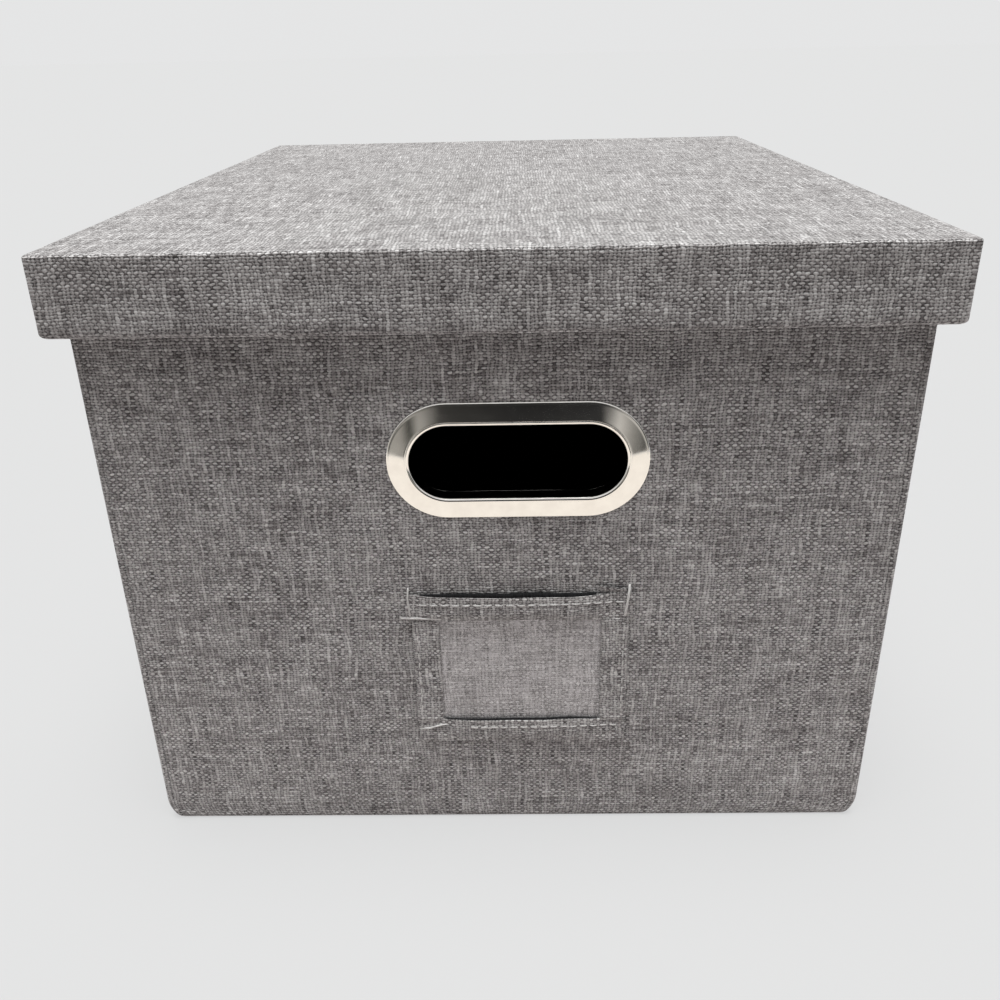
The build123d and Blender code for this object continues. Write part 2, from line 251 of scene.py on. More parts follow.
# ---- Node helpers ----
class Graph:
    """Short calls for building the nodes of a material or of the world."""

    def __init__(self, owner):
        owner.use_nodes = True
        self.owner = owner
        self.tree = owner.node_tree
        self.shader = self.tree.nodes.get("Principled BSDF")

    def add(self, kind, **settings):
        node = self.tree.nodes.new(kind)
        for key, value in settings.items():
            setattr(node, key, value)
        return node

    def put(self, socket, value):
        if isinstance(value, bpy.types.NodeSocket):
            self.tree.links.new(value, socket)
        else:
            socket.default_value = value

    def fill(self, node, *values):
        """Puts values in a node's first sockets, and returns its first output."""
        for socket, value in zip(node.inputs, values):
            self.put(socket, value)
        return node.outputs[0]

    def set(self, **values):
        """Sets the shader's sockets, and returns the material. An underscore stands for a space."""
        for key, value in values.items():
            self.put(self.shader.inputs[key.replace("_", " ")], value)
        return self.owner

    def math(self, operation, *values):
        return self.fill(self.add("ShaderNodeMath", operation=operation), *values)

    def plus(self, a, b):
        return self.math("ADD", a, b)

    def minus(self, a, b):
        return self.math("SUBTRACT", a, b)

    def times(self, a, b):
        return self.math("MULTIPLY", a, b)

    def times_plus(self, a, b, c):
        return self.math("MULTIPLY_ADD", a, b, c)

    def larger(self, a, b):
        return self.math("MAXIMUM", a, b)

    def vector(self, x, y, z=0.0):
        return self.fill(self.add("ShaderNodeCombineXYZ"), x, y, z)

    def split(self, vector):
        node = self.add("ShaderNodeSeparateXYZ")
        self.put(node.inputs[0], vector)
        return node.outputs

    def colour(self, *channels):
        return self.fill(self.add("ShaderNodeCombineColor"), *channels)

    def noise(self, vector, scale=1.0, detail=2.0, roughness=0.5):
        node = self.add("ShaderNodeTexNoise", noise_dimensions="3D")
        self.put(node.inputs["Vector"], vector)
        self.put(node.inputs["Scale"], scale)
        self.put(node.inputs["Detail"], detail)
        self.put(node.inputs["Roughness"], roughness)
        return node.outputs[0]

    def mix(self, factor, a, b):
        node = self.add("ShaderNodeMix", data_type="FLOAT")
        self.put(node.inputs[0], factor)
        self.put(node.inputs[2], a)
        self.put(node.inputs[3], b)
        return node.outputs[0]

    def shade(self, colour, level):
        """A colour multiplied by a level."""
        node = self.add("ShaderNodeMix", data_type="RGBA", blend_type="MULTIPLY")
        self.put(node.inputs[0], 1.0)
        self.put(node.inputs[6], colour)
        self.put(node.inputs[7], self.colour(level, level, level))
        return node.outputs[2]

    def ranged(self, value, low, high, to_low=0.0, to_high=1.0, smooth=False):
        kind = "SMOOTHSTEP" if smooth else "LINEAR"
        node = self.add("ShaderNodeMapRange", clamp=True, interpolation_type=kind)
        return self.fill(node, value, low, high, to_low, to_high)

    def ramp(self, value, stops):
        node = self.add("ShaderNodeValToRGB")
        self.put(node.inputs[0], value)
        band = node.color_ramp
        while len(band.elements) < len(stops):
            band.elements.new(0.5)
        for element, (place, colour) in zip(band.elements, stops):
            element.position = place
            element.color = (*colour, 1.0)
        return node.outputs[0]

    def bump(self, height, distance):
        node = self.add("ShaderNodeBump")
        node.inputs["Strength"].default_value = 1.0
        node.inputs["Distance"].default_value = distance * MM
        self.put(node.inputs["Height"], height)
        return node.outputs[0]

    def uv(self):
        """The Weave map in millimetres, split into x and y."""
        x, y, _ = self.split(self.add("ShaderNodeUVMap", uv_map="Weave").outputs[0])
        return self.times(x, 1 / MM), self.times(y, 1 / MM)

    def object_place(self):
        """The object's own coordinates, in metres."""
        return self.add("ShaderNodeTexCoord").outputs["Object"]


def new_material(name):
    return Graph(bpy.data.materials.new(name))


# ---- Materials ----
WARP = 1.42  # mm from one upright yarn to the next
WEFT = 1.15
YARN_TONES = [  # place on the tone scale, brightness, tint: dark yarns are taupe
    (0.0, 0.10, (1.0, 0.92, 0.91)),
    (0.28, 0.255, (1.0, 0.94, 0.93)),
    (0.50, 0.485, (1.0, 0.965, 0.953)),
    (0.72, 0.69, (1.0, 0.980, 0.968)),
    (1.0, 0.87, (1.0, 0.99, 0.98)),
]


def linen(name, light=1.0, relief=0.30):
    """Plain weave of thick and thin melange yarns, from the Weave map."""
    g = new_material(name)
    x, y = g.uv()

    def stray(place, scale, detail, reach):
        """Yarns that wander from their places by up to half of reach, in pitches."""
        return g.times_plus(g.noise(place, scale, detail), reach, -reach / 2)

    wander_x = stray(g.vector(x, y), 0.06, 2.0, 2.4)
    wander_y = stray(g.vector(y, x, 9.0), 0.06, 2.0, 2.0)
    jitter_x = stray(g.vector(x, y, 13.0), 0.42, 1.0, 0.9)
    jitter_y = stray(g.vector(x, y, 17.0), 0.42, 1.0, 0.9)
    u = g.plus(g.plus(g.math("DIVIDE", x, WARP), wander_x), jitter_x)
    v = g.plus(g.plus(g.math("DIVIDE", y, WEFT), wander_y), jitter_y)
    column = g.math("FLOOR", u)
    row = g.math("FLOOR", v)
    across_warp = g.minus(g.math("FRACT", u), 0.5)
    across_weft = g.minus(g.math("FRACT", v), 0.5)
    odd = g.math("FLOORED_MODULO", g.plus(column, row), 2.0)
    over = g.times_plus(odd, -2.0, 1.0)

    def yarn(along, number, across, seed, thin, thick, level):
        """Tone and section of one yarn system: melange and slubs along it, fibres across it."""
        track = g.times(number, 7.37)

        def run(scale, offset, detail, roughness=0.5):
            place = g.vector(g.times(along, scale), track, seed + offset)
            return g.noise(place, 1.0, detail, roughness)

        tone = run(0.26, 0.0, 3.0, 0.6)
        slub = run(0.12, 7.0, 1.0)
        long = run(0.05, 11.0, 1.0)
        ply = g.vector(g.times(along, 0.8), g.times_plus(across, 3.0, track), seed + 3.0)
        total = g.times_plus(g.minus(tone, 0.5), 1.2, level)
        total = g.times_plus(g.minus(g.noise(ply, 1.0, 2.0), 0.5), 0.8, total)
        total = g.plus(total, g.ranged(slub, 0.60, 0.72, 0.0, 0.28, smooth=True))
        total = g.minus(total, g.ranged(slub, 0.40, 0.30, 0.0, 0.16, smooth=True))
        total = g.times_plus(g.minus(long, 0.5), 1.0, total)
        side = g.math("DIVIDE", across, g.ranged(slub, 0.32, 0.70, thin, thick))
        return total, g.times(side, side)

    def wave(across):
        return g.times(over, g.math("COSINE", g.times(across, pi)))

    warp_tone, warp_side = yarn(v, column, across_warp, 1.0, 0.38, 0.60, 0.42)
    weft_tone, weft_side = yarn(u, row, across_weft, 21.0, 0.33, 0.56, 0.60)
    warp_height = g.minus(g.times(wave(across_weft), 0.50), warp_side)
    weft_height = g.minus(g.times(wave(across_warp), -0.60), weft_side)
    weft_up = g.math("GREATER_THAN", weft_height, warp_height)
    height = g.larger(warp_height, weft_height)
    cloud = g.noise(g.vector(x, y, 4.0), 0.05, 2.0)
    tone = g.plus(g.mix(weft_up, warp_tone, weft_tone), g.times_plus(cloud, 0.24, -0.12))
    stops = [(place, tuple(light * level * t for t in tint)) for place, level, tint in YARN_TONES]
    # Painted shade: the colour is darkened in the low gaps between the yarns, where shade falls.
    painted_gap_shade = g.ranged(height, -0.80, 0.12, 0.15, 1.0)
    fibre = g.noise(g.vector(x, y, 2.0), 5.0, 2.0)
    return g.set(
        Base_Color=g.shade(g.ramp(tone, stops), painted_gap_shade),
        Normal=g.bump(g.times_plus(fibre, 0.25, height), relief),
        Roughness=g.ranged(fibre, 0.3, 0.7, 0.82, 0.95),
        Specular_IOR_Level=0.25,
        Sheen_Weight=0.40,
        Sheen_Roughness=0.35,
    )


def non_woven():
    """Black point-bonded non-woven: short fibres pressed together in a grid of small dimples."""
    g = new_material("non_woven")
    x, y = g.uv()
    fibre = g.noise(g.vector(x, y), 3.0, 3.0)
    u = g.times(x, 0.62)
    v = g.times(y, 0.45)
    shift = g.times(g.math("FLOORED_MODULO", g.math("FLOOR", v), 2.0), 0.5)
    across = g.minus(g.math("FRACT", g.plus(u, shift)), 0.5)
    up = g.minus(g.math("FRACT", v), 0.5)
    reach = g.plus(g.times(across, across), g.times(up, up))
    dimple = g.ranged(reach, 0.02, 0.07, 0.0, 1.0, smooth=True)
    return g.set(
        Base_Color=g.ramp(fibre, [(0.3, (0.014, 0.014, 0.015)), (0.7, (0.034, 0.034, 0.036))]),
        Normal=g.bump(g.times_plus(fibre, 0.3, dimple), 0.15),
        Roughness=g.ranged(dimple, 0.0, 1.0, 0.80, 0.95),
        Specular_IOR_Level=0.2,
    )


def chipboard():
    """Grey chipboard with flecks of recycled fibre."""
    g = new_material("greyboard")
    place = g.object_place()
    fleck = g.noise(place, 900.0, 4.0, 0.7)
    fibre = g.noise(place, 220.0, 3.0)
    tone = g.plus(g.times(fleck, 0.7), g.times(fibre, 0.3))
    stops = [(0.3, (0.20, 0.18, 0.155)), (0.5, (0.33, 0.30, 0.26)), (0.7, (0.43, 0.40, 0.35))]
    return g.set(
        Base_Color=g.ramp(tone, stops),
        Normal=g.bump(fleck, 0.08),
        Roughness=g.ranged(fibre, 0.3, 0.7, 0.8, 0.95),
    )


def nickel():
    """Polished nickel plate with faint hairline polishing marks and handling haze."""
    g = new_material("polished_metal")
    x, y = g.uv()
    hair = g.noise(g.vector(g.times(x, 0.12), g.times(y, 9.0)), 1.0, 3.0)
    haze = g.noise(g.object_place(), 160.0, 2.0)
    return g.set(
        Base_Color=g.ramp(haze, [(0.3, (0.80, 0.775, 0.735)), (0.7, (0.86, 0.84, 0.80))]),
        Metallic=1.0,
        Roughness=g.plus(g.ranged(haze, 0.35, 0.7, 0.05, 0.11), g.times(hair, 0.03)),
        Normal=g.bump(hair, 0.004),
    )


def steel():
    """Dull zinc-plated steel."""
    g = new_material("back_plate_metal")
    place = g.object_place()
    grain = g.noise(place, 700.0, 3.0)
    patch = g.noise(place, 90.0, 2.0)
    return g.set(
        Base_Color=g.ramp(patch, [(0.3, (0.50, 0.50, 0.49)), (0.7, (0.64, 0.64, 0.63))]),
        Metallic=1.0,
        Roughness=g.ranged(grain, 0.3, 0.7, 0.32, 0.48),
        Normal=g.bump(grain, 0.02),
    )


def extruded_plastic():
    """White extruded plastic with faint die lines along it."""
    g = new_material("rail_plastic")
    x, y, z = g.split(g.object_place())
    stretched = g.vector(g.times(x, 1800.0), g.times(y, 6.0), g.times(z, 1800.0))
    lines = g.noise(stretched, 1.0, 2.0)
    return g.set(
        Base_Color=g.ramp(lines, [(0.3, (0.74, 0.74, 0.72)), (0.7, (0.80, 0.80, 0.785))]),
        Roughness=g.ranged(lines, 0.3, 0.7, 0.38, 0.5),
        Normal=g.bump(lines, 0.02),
    )


def hazy_film():
    """Clear vinyl film gone hazy, pressed on the cloth until its yarns show in it."""
    g = new_material("label_film")
    x, y = g.uv()
    scuff = g.noise(g.vector(g.times(x, 0.5), g.times(y, 1.1)), 1.0, 4.0, 0.65)
    cloud = g.noise(g.vector(x, y, 3.0), 0.07, 3.0)
    upright = g.noise(g.vector(g.times(x, 0.95), g.times(y, 0.09), 5.0), 1.0, 2.0)
    level = g.noise(g.vector(g.times(x, 0.08), g.times(y, 1.05), 6.0), 1.0, 2.0)
    printed = g.times(g.plus(upright, level), 0.5)
    veil = g.ranged(cloud, 0.3, 0.7, 0.09, 0.15)
    haze = g.times_plus(g.minus(cloud, 0.5), 0.4, printed)
    return g.set(
        Base_Color=g.ramp(haze, [(0.36, (0.62, 0.605, 0.61)), (0.62, (0.92, 0.90, 0.91))]),
        Alpha=g.plus(veil, g.ranged(printed, 0.41, 0.59, 0.0, 0.20)),
        Roughness=g.ranged(scuff, 0.3, 0.8, 0.20, 0.38),
        Normal=g.bump(printed, 0.06),
    )


def thread(name, colour):
    """Twisted sewing thread."""
    g = new_material(name)
    x, y = g.uv()
    twist = g.math("SINE", g.times(g.plus(g.times(x, 1.6), y), 2 * pi))
    fibre = g.noise(g.vector(x, y), 6.0, 2.0)
    stops = [(0.25, tuple(0.72 * c for c in colour)), (0.75, colour)]
    return g.set(
        Base_Color=g.ramp(g.times_plus(twist, 0.2, fibre), stops),
        Normal=g.bump(twist, 0.05),
        Roughness=g.ranged(fibre, 0.3, 0.7, 0.6, 0.85),
    )


LINEN = linen("linen")
# Painted light: the tapes are the same linen made 1.1 times brighter, for the extra light that the
# raised tapes catch.
TAPE_LINEN_PAINTED_LIGHT = linen("tape_linen_painted_light", 1.10, 0.40)
NON_WOVEN = non_woven()
GREYBOARD = chipboard()
NICKEL = nickel()
STEEL = steel()
RAIL = extruded_plastic()
FILM = hazy_film()
WHITE_THREAD = thread("white_thread", (0.92, 0.91, 0.89))
GREY_THREAD = thread("grey_thread", (0.88, 0.865, 0.85))

for node_name, node_object in nodes.items():
    for key, material in (("board", GREYBOARD), ("plate", STEEL), ("rail", RAIL)):
        if key in node_name and "wrap" not in node_name:
            node_object.data.materials.clear()
            node_object.data.materials.append(material)


# ---- Body: the outline at each height ----
def turned_in(height, depth, z):
    """How far an upright side has come in at z, for a curve of this height and depth."""
    if z >= height:
        return 0.0
    radius = (height * height + depth * depth) / (2 * depth)
    return radius - sqrt(max(radius * radius - (height - z) ** 2, 0.0))


def foot_scale(z):
    """What the plan is multiplied by at z. The cloth is proud of the solids below the lid."""
    proud = PROUD * (1 - ease(LID_FOOT + 4.0, WALL_TOP - 4.0, z))
    return (
        1 + (proud - turned_in(SIDE_FOLD_HEIGHT, SIDE_FOLD_DEPTH, z)) / HALF_X,
        1 - turned_in(END_FOLD, END_FOLD, z) / HALF_Y,
    )


SEAM_ROLL = 1.4  # how much of the cloth rolls in at a sewn edge


def seam_relief(distance):
    """The cloth rolls in at a sewn edge, with a low ridge beside it."""
    part = max(1 - distance / SEAM_ROLL, 0.0)
    sunk = -0.40 * (1 - sqrt(max(1 - part * part, 0.0)))
    return sunk + 0.14 * bump_line(distance - 2.3, 1.0)


FOOT_ROWS = [0.0, 0.25, 0.6, 1.1, 1.7, 2.4, 3.4, 4.6, 6.0, 7.6, 9.2, 11.0]
WALL_ROWS = FOOT_ROWS + spread(13.0, WALL_TOP, 2.6)
UNDER_ROWS = [8.0, 4.0, 1.2]  # how far in the turned-under rows lie
PANEL_ROWS = [(0.0, inward) for inward in UNDER_ROWS] + [(z, 0.0) for z in WALL_ROWS]
EDGE_STEPS = (0.0, 0.25, 0.55, 0.9, 1.3, 1.8, 2.4, 3.1, 4.0, 5.2, 7.0)


def panel(name, node, stations, seed, way, out, hole=None):
    """A linen panel over stations (place, way out, travel). out gives how far it stands out."""
    flat = [(s, z - inward) for z, inward in PANEL_ROWS for s in (station[4] for station in stations)]
    uv = [(way * s + seed * PANEL_SHIFT, z) for s, z in flat]
    points = []
    for z, inward in PANEL_ROWS:
        scale_x, scale_y = foot_scale(z)
        for x, y, nx, ny, s in stations:
            proud = out(s, y, z)
            px = (x * scale_x + nx * proud) * (1 - inward / HALF_X)
            points.append((px, (y * scale_y + ny * proud) * (1 - inward / HALF_Y), z))
    faces = grid_faces(len(stations), len(PANEL_ROWS))
    if hole:
        turn = 1 if stations[0][0] < 0 else -1
        points, faces, uv = cut_hole(
            points, faces, uv, flat, (hole[0] * turn, hole[1]),
            lambda i, dx, dz: (points[i][0] + turn * dx, stations[0][1], points[i][2] + dz),
        )
    return make(name, points, faces, uv, LINEN, node=node, thickness=CLOTH)


def slack(place, z, seed, quiet, waves, size):
    """Slow and quick waves of the cloth, where quiet lets them be."""
    ripple = 0.07 * wobble(place, z, seed + 1, 15.0)
    return quiet * ease(1.0, 25.0, z) * (waves * wobble(place, z, seed, size) + ripple)


def end_panel(name, node, side, seed, hole):
    """Front (side -1) or rear (side 1) linen panel, between the two upright seams."""
    columns = spread(-SEAM_X, SEAM_X, 2.6, EDGE_STEPS)
    stations = [(-side * c, side * HALF_Y, 0.0, side, c) for c in columns]

    def out(c, y, z):
        from_seam = SEAM_X - abs(c)
        rolled = seam_relief(from_seam) * ease(0.0, 4.0, z)
        return rolled + slack(c, z, seed, ease(0.0, 12.0, from_seam), 0.20, 52.0)

    return panel(name, node, stations, seed, 1, out, hole)


def side_stations():
    """Stations round a long side, from one seam to the other: nominal place, way out, travel."""
    steps = 7
    arc_x = HALF_X - CORNER
    flat = arc_x - SEAM_X
    half = [(SEAM_X + t * flat, -HALF_Y, 0.0, -1.0, t * flat) for t in (0.0, 0.25, 0.5, 0.75)]
    for k in range(steps + 1):
        angle = pi / 2 * k / steps
        place = (arc_x + CORNER * sin(angle), -SEAM_Y - CORNER * cos(angle))
        half.append((*place, sin(angle), -cos(angle), flat + CORNER * angle))
    start = half[-1][4]
    whole = 2 * start + 2 * SEAM_Y
    crease = [-2.6, -1.7, -1.0, -0.5, 0.0, 0.5, 1.0, 1.7, 2.6]
    middle = spread(-SEAM_Y, SEAM_Y, 2.6, (0.0, 0.8, 1.7))[1:-1]
    middle = sorted([y for y in middle if abs(y) > 3.0] + crease)
    stations = half + [(HALF_X, y, 1.0, 0.0, start + y + SEAM_Y) for y in middle]
    return stations + [(x, -y, nx, -ny, whole - t) for x, y, nx, ny, t in reversed(half)]


def side_panel(name, node, side, seed):
    """Linen of a long side: it wraps both corners, and has the fold line in the middle."""
    stations = side_stations()
    if side < 0:
        stations = [(-x, y, -nx, ny, s) for x, y, nx, ny, s in reversed(stations)]
    whole = max(s[4] for s in stations)

    def out(s, y, z):
        from_seam = min(s, whole - s)
        rolled = seam_relief(from_seam) * ease(0.0, 4.0, z)
        crease = 0.55 * bump_line(y, 1.1) - 0.18 * bump_line(abs(y) - 3.0, 1.6)
        quiet = ease(4.0, 16.0, from_seam) * (1 - 0.7 * bump_line(y, 6.0))
        return rolled - crease + slack(y, z, seed, quiet, 0.24, 60.0)

    return panel(name, node, stations, seed, side, out)


front_linen = end_panel("front_linen", "front_cover", -1, 3, FRONT_HOLE)
rear_linen = end_panel("rear_linen", "rear_cover", 1, 8, REAR_HOLE)
left_linen = side_panel("left_linen", "left_cover", -1, 13)
right_linen = side_panel("right_linen", "right_cover", 1, 18)


# ---- Flat sheets: base cloth and linings ----
def flat_sheet(
    name, across, up, place, material, node=None, thickness=LINING, seed=0, hole=None, body="box",
):
    """A sheet over a grid of two measures. place gives each point, and hole a stadium in it."""
    flat = [(a, b) for b in up for a in across]
    points = [place(a, b) for a, b in flat]
    uv = [(a + seed * SHEET_SHIFT, b) for a, b in flat]
    faces = grid_faces(len(across), len(up))
    if hole:
        points, faces, uv = cut_hole(
            points, faces, uv, flat, hole, lambda i, da, db: place(flat[i][0] + da, flat[i][1] + db)
        )
    return make(name, points, faces, uv, material, body, node, thickness)


def lining_wave(a, b, seed, amount=0.10):
    """Small waves of a loosely stuck sheet, always to one side."""
    return abs(amount * (wobble(a, b, seed, 38.0) + 0.4 * wobble(a, b, seed + 1, 11.0)))


LINING_FOOT = 1.4
LINING_LIFT = 0.12  # from the lining's nominal face to its highest waves
LINING_MARGIN = 0.2
BASE_INSET_X = 1.5  # from the walls' linings to the edge of the base's
BASE_INSET_Y = 0.4
BASE_LINING_Z = 1.25
BASE_CLOTH_Z = 0.12
wall_up = spread(LINING_FOOT, FACING_FOOT, 4.0)
end_across = spread(-LINING_X + LINING_MARGIN, LINING_X - LINING_MARGIN, 4.0)
side_across = spread(-LINING_Y + LINING_MARGIN, LINING_Y - LINING_MARGIN, 4.0)


def end_lining(name, node, side, seed, map_seed, hole):
    def place(a, b):
        return side * a, side * (LINING_Y + LINING_LIFT - lining_wave(a, b, seed)), b
    return flat_sheet(name, end_across, wall_up, place, NON_WOVEN, node, seed=map_seed, hole=hole)


def side_lining(name, node, side, seed, map_seed):
    def place(a, b):
        ends = turned_in(SIDE_FOLD_HEIGHT, SIDE_FOLD_DEPTH, b) * 0.55
        return side * (LINING_X + LINING_LIFT - lining_wave(a, b, seed) - ends), -side * a, b
    return flat_sheet(name, side_across, wall_up, place, NON_WOVEN, node, seed=map_seed)


front_lining_cloth = end_lining(
    "front_lining_cloth", "front_lining", -1, 31, 1, (-FRONT_HOLE[0], FRONT_HOLE[1])
)
rear_lining_cloth = end_lining("rear_lining_cloth", "rear_lining", 1, 33, 2, REAR_HOLE)
left_lining_cloth = side_lining("left_lining_cloth", "left_lining", -1, 35, 3)
right_lining_cloth = side_lining("right_lining_cloth", "right_lining", 1, 37, 4)
bottom_lining_cloth = flat_sheet(
    "bottom_lining_cloth",
    spread(-LINING_X + BASE_INSET_X, LINING_X - BASE_INSET_X, 6.0),
    spread(-LINING_Y + BASE_INSET_Y, LINING_Y - BASE_INSET_Y, 6.0),
    lambda a, b: (a, b, BASE_LINING_Z + lining_wave(a, b, 41, 0.05)),
    NON_WOVEN, "bottom_lining", seed=5,
)
base_cloth = flat_sheet(
    "base_cloth",
    spread(-SEAM_X + SIDE_FOLD_DEPTH, SEAM_X - SIDE_FOLD_DEPTH, 6.0),
    spread(-SEAM_Y, SEAM_Y, 6.0),
    lambda a, b: (a, -b, BASE_CLOTH_Z + lining_wave(a, b, 43, 0.05)),
    NON_WOVEN, "bottom_cover", BASE_CLOTH, 6,
)


# ---- Closed loops round the box and the floor board ----
def loop_stations(a, b, r, step, corner_steps=6):
    """Counter-clockwise stations (x, y, travel) of a rounded rectangle, front first."""
    stations, travel = [], 0.0
    for k, (start, way, length) in enumerate((
        ((-(a - r), -b), (1, 0), 2 * (a - r)),
        ((a, -(b - r)), (0, 1), 2 * (b - r)),
        ((a - r, b), (-1, 0), 2 * (a - r)),
        ((-a, b - r), (0, -1), 2 * (b - r)),
    )):
        for s in spread(0.0, length, step, (0.0, 1.0, 2.2, 3.6, 5.4))[:-1]:
            stations.append((start[0] + way[0] * s, start[1] + way[1] * s, travel + s))
        travel += length
        centre_x = start[0] + way[0] * length - way[1] * r
        centre_y = start[1] + way[1] * length + way[0] * r
        begin = (k - 1) * pi / 2
        for j in range(corner_steps):
            turn = pi / 2 * j / corner_steps
            x = centre_x + r * cos(begin + turn)
            stations.append((x, centre_y + r * sin(begin + turn), travel + r * turn))
        travel += r * pi / 2
    return stations, travel


def ring(name, stations, travel, rows, material, body, node, thickness, seed):
    """A sheet swept round a closed loop. rows are (offset out, height, cloth travel)."""
    count = len(stations)
    points, faces, uv = [], [], []
    half_x = max(s[0] for s in stations)
    half_y = max(s[1] for s in stations)
    for offset, z, _ in rows:
        points += [(x * (1 + offset / half_x), y * (1 + offset / half_y), z) for x, y, _ in stations]
    travels = [s + seed * RING_SHIFT for s in [station[2] for station in stations] + [travel]]
    for j in range(len(rows) - 1):
        band(faces, uv, j * count, (j + 1) * count, travels, rows[j][2], rows[j + 1][2])
    return make(name, points, faces, uv, material, body, node, thickness)


rim_stations, rim_travel = loop_stations(HALF_X, HALF_Y, CORNER, 4.0)
RIM_ROUND = 0.8  # radius of the rim's two edges
FACING_FACE = HALF_X - (LINING_X - 0.4)  # from the body's outline to the facing's inner face
rim_turns = [pi / 2 * k / 6 for k in range(1, 6)]
rim_rows = [(-0.15, WALL_TOP - 0.4, 0.0), (0.0, WALL_TOP + 0.1, 0.5)]
rim_rows += [
    (-RIM_ROUND * (1 - cos(t)), WALL_TOP + RIM_ROUND * sin(t), 0.5 + RIM_ROUND * t) for t in rim_turns
]
rim_rows += [(-RIM_ROUND, RIM, 1.8), (-FACING_FACE + RIM_ROUND, RIM, 4.2)]
rim_rows += [
    (-FACING_FACE + RIM_ROUND * (1 - sin(t)), RIM - RIM_ROUND * (1 - cos(t)), 4.2 + RIM_ROUND * t)
    for t in rim_turns
]
rim_rows += [(-FACING_FACE, z, 5.5 + RIM - z) for z in spread(RIM - RIM_ROUND, FACING_FOOT, 4.0)]
rim_facing = ring(
    "rim_facing_linen", rim_stations, rim_travel, rim_rows, LINEN, "box", "rim_facing", RIM_CLOTH, 7
)


# ---- Lid ----
LID_CORNER = 2.0  # radius of its upright edges
LID_EDGE = 1.1  # radius of its top edges
LID_FOLD = 2.0  # height of the fold at the skirt's foot
LID_TURNED = 0.8  # from a board's inner face to the face of the cloth turned in over it
LID_INNER_X = LID_BOARD_X - LID_TURNED
LID_INNER_Y = LID_BOARD_Y - LID_TURNED
lid_rows = []  # (way in at the rounded top edge, share of the way through the skirt, drop, travel)
for k in range(5):
    t = pi / 2 * k / 4
    lid_rows.append((LID_EDGE * (1 - sin(t)), 0.0, LID_EDGE * (1 - cos(t)), LID_EDGE * t))
skirt_length = LID_TOP - LID_FOOT - LID_FOLD
for drop in spread(LID_EDGE, skirt_length, 2.4)[1:]:
    lid_rows.append((0.0, 0.0, drop, LID_EDGE * (pi / 2 - 1) + drop))
fold_start = lid_rows[-1][3]
for k in range(1, 9):
    t = pi * k / 8
    lid_rows.append((0.0, (1 - cos(t)) / 2, skirt_length + LID_FOLD * sin(t), fold_start + LID_FOLD * t))
for rise in (3.0, 6.5, 10.0, 13.5):
    lid_rows.append((0.0, 1.0, skirt_length - rise, fold_start + LID_FOLD * pi + rise))


def lid_axis(half):
    return spread(-half, half, 4.4, (0.0, 0.3, 0.6, 0.95, 1.5, 2.2, 3.2, 4.8, 7.0))


def round_corner(x, y, a, b, r):
    """Moves a point of a rectangle's grid so that the corners are arcs of radius r."""
    p = abs(x) - (a - r)
    q = abs(y) - (b - r)
    if p <= 0 or q <= 0:
        return x, y
    reach = max(p, q)
    angle = (q / p) * pi / 4 if p >= q else pi / 2 - (p / q) * pi / 4
    sx = 1 if x > 0 else -1
    sy = 1 if y > 0 else -1
    return sx * (a - r + reach * cos(angle)), sy * (b - r + reach * sin(angle))


def lid_piece():
    """The lid's cloth: over the top, down the skirt, round its foot and up inside."""
    a = LID_X - LID_EDGE
    b = LID_Y - LID_EDGE
    r = LID_CORNER - LID_EDGE
    xs = lid_axis(a)
    ys = lid_axis(b)
    flat = [round_corner(x, y, a, b, r) for y in ys for x in xs]
    points = []
    for (x, y), place in zip(((x, y) for y in ys for x in xs), flat):
        quiet = ease(0.0, 14.0, a - abs(x)) * ease(0.0, 14.0, b - abs(y))
        lift = quiet * (0.22 * wobble(x, y, 51, 75.0) + 0.06 * wobble(x, y, 52, 18.0))
        points.append((*place, LID_TOP + lift))
    faces = grid_faces(len(xs), len(ys))
    corner_uv = [flat[i] for f in faces for i in f]
    border = grid_border(len(xs), len(ys))
    outs = []
    for i in border:
        ox = past(flat[i][0], a - r)
        oy = past(flat[i][1], b - r)
        length = sqrt(ox * ox + oy * oy)
        outs.append((ox / length, oy / length))
    rings = [border]
    for way_in, through, drop, travel in lid_rows[1:]:
        row = []
        narrow_x = 1 - through * (LID_X - LID_INNER_X) / LID_X
        narrow_y = 1 - through * (LID_Y - LID_INNER_Y) / LID_Y
        low = ease(10.0, 29.0, drop)
        for i, (ox, oy) in zip(border, outs):
            x, y = flat[i]
            along, half = (x, LID_X) if abs(oy) > abs(ox) else (y, LID_Y)
            middle = max(0.0, 1 - (along / half) ** 2)
            wave = wobble(along, drop, 61 + round(ox) + 3 * round(oy), 34.0) * ease(0.0, 9.0, drop)
            bow = 0.30 * middle * low + 0.16 * wave * ease(0.0, 12.0, half - abs(along))
            out = LID_EDGE - way_in + bow * (1 - 0.7 * through)
            z = LID_TOP - drop - 0.55 * middle * low
            row.append(len(points))
            points.append(((x + ox * out) * narrow_x, (y + oy * out) * narrow_y, z))
        rings.append(row)

    def mapped(ring, station, i, n):
        x, y = flat[border[station]]
        ox = outs[i][0] + outs[n][0]
        oy = outs[i][1] + outs[n][1]
        if abs(oy) >= abs(ox):
            return x, (1 if oy > 0 else -1) * (b + lid_rows[ring][3])
        return (1 if ox > 0 else -1) * (a + lid_rows[ring][3]), y

    join_rings(faces, corner_uv, rings, mapped, False)
    return make("lid_linen", points, faces, corner_uv, LINEN, "lid", "lid_cover", CLOTH)


lid_linen = lid_piece()

# Lid lining: the ceiling and four sides down to the turned-in linen.
LID_LINING_FOOT = span("lid_lining")[0].z
LID_CEILING = span("lid_lining")[1].z - 0.4
LID_LINING_GAP = 0.45  # from a board's inner face to the face of the lining
LID_SIDES_SHIFT = 500.0  # keeps the map of the sides apart from the ceiling's
lining_half_x = LID_BOARD_X - LID_LINING_GAP
lining_half_y = LID_BOARD_Y - LID_LINING_GAP
lining_drop = LID_CEILING - LID_LINING_FOOT


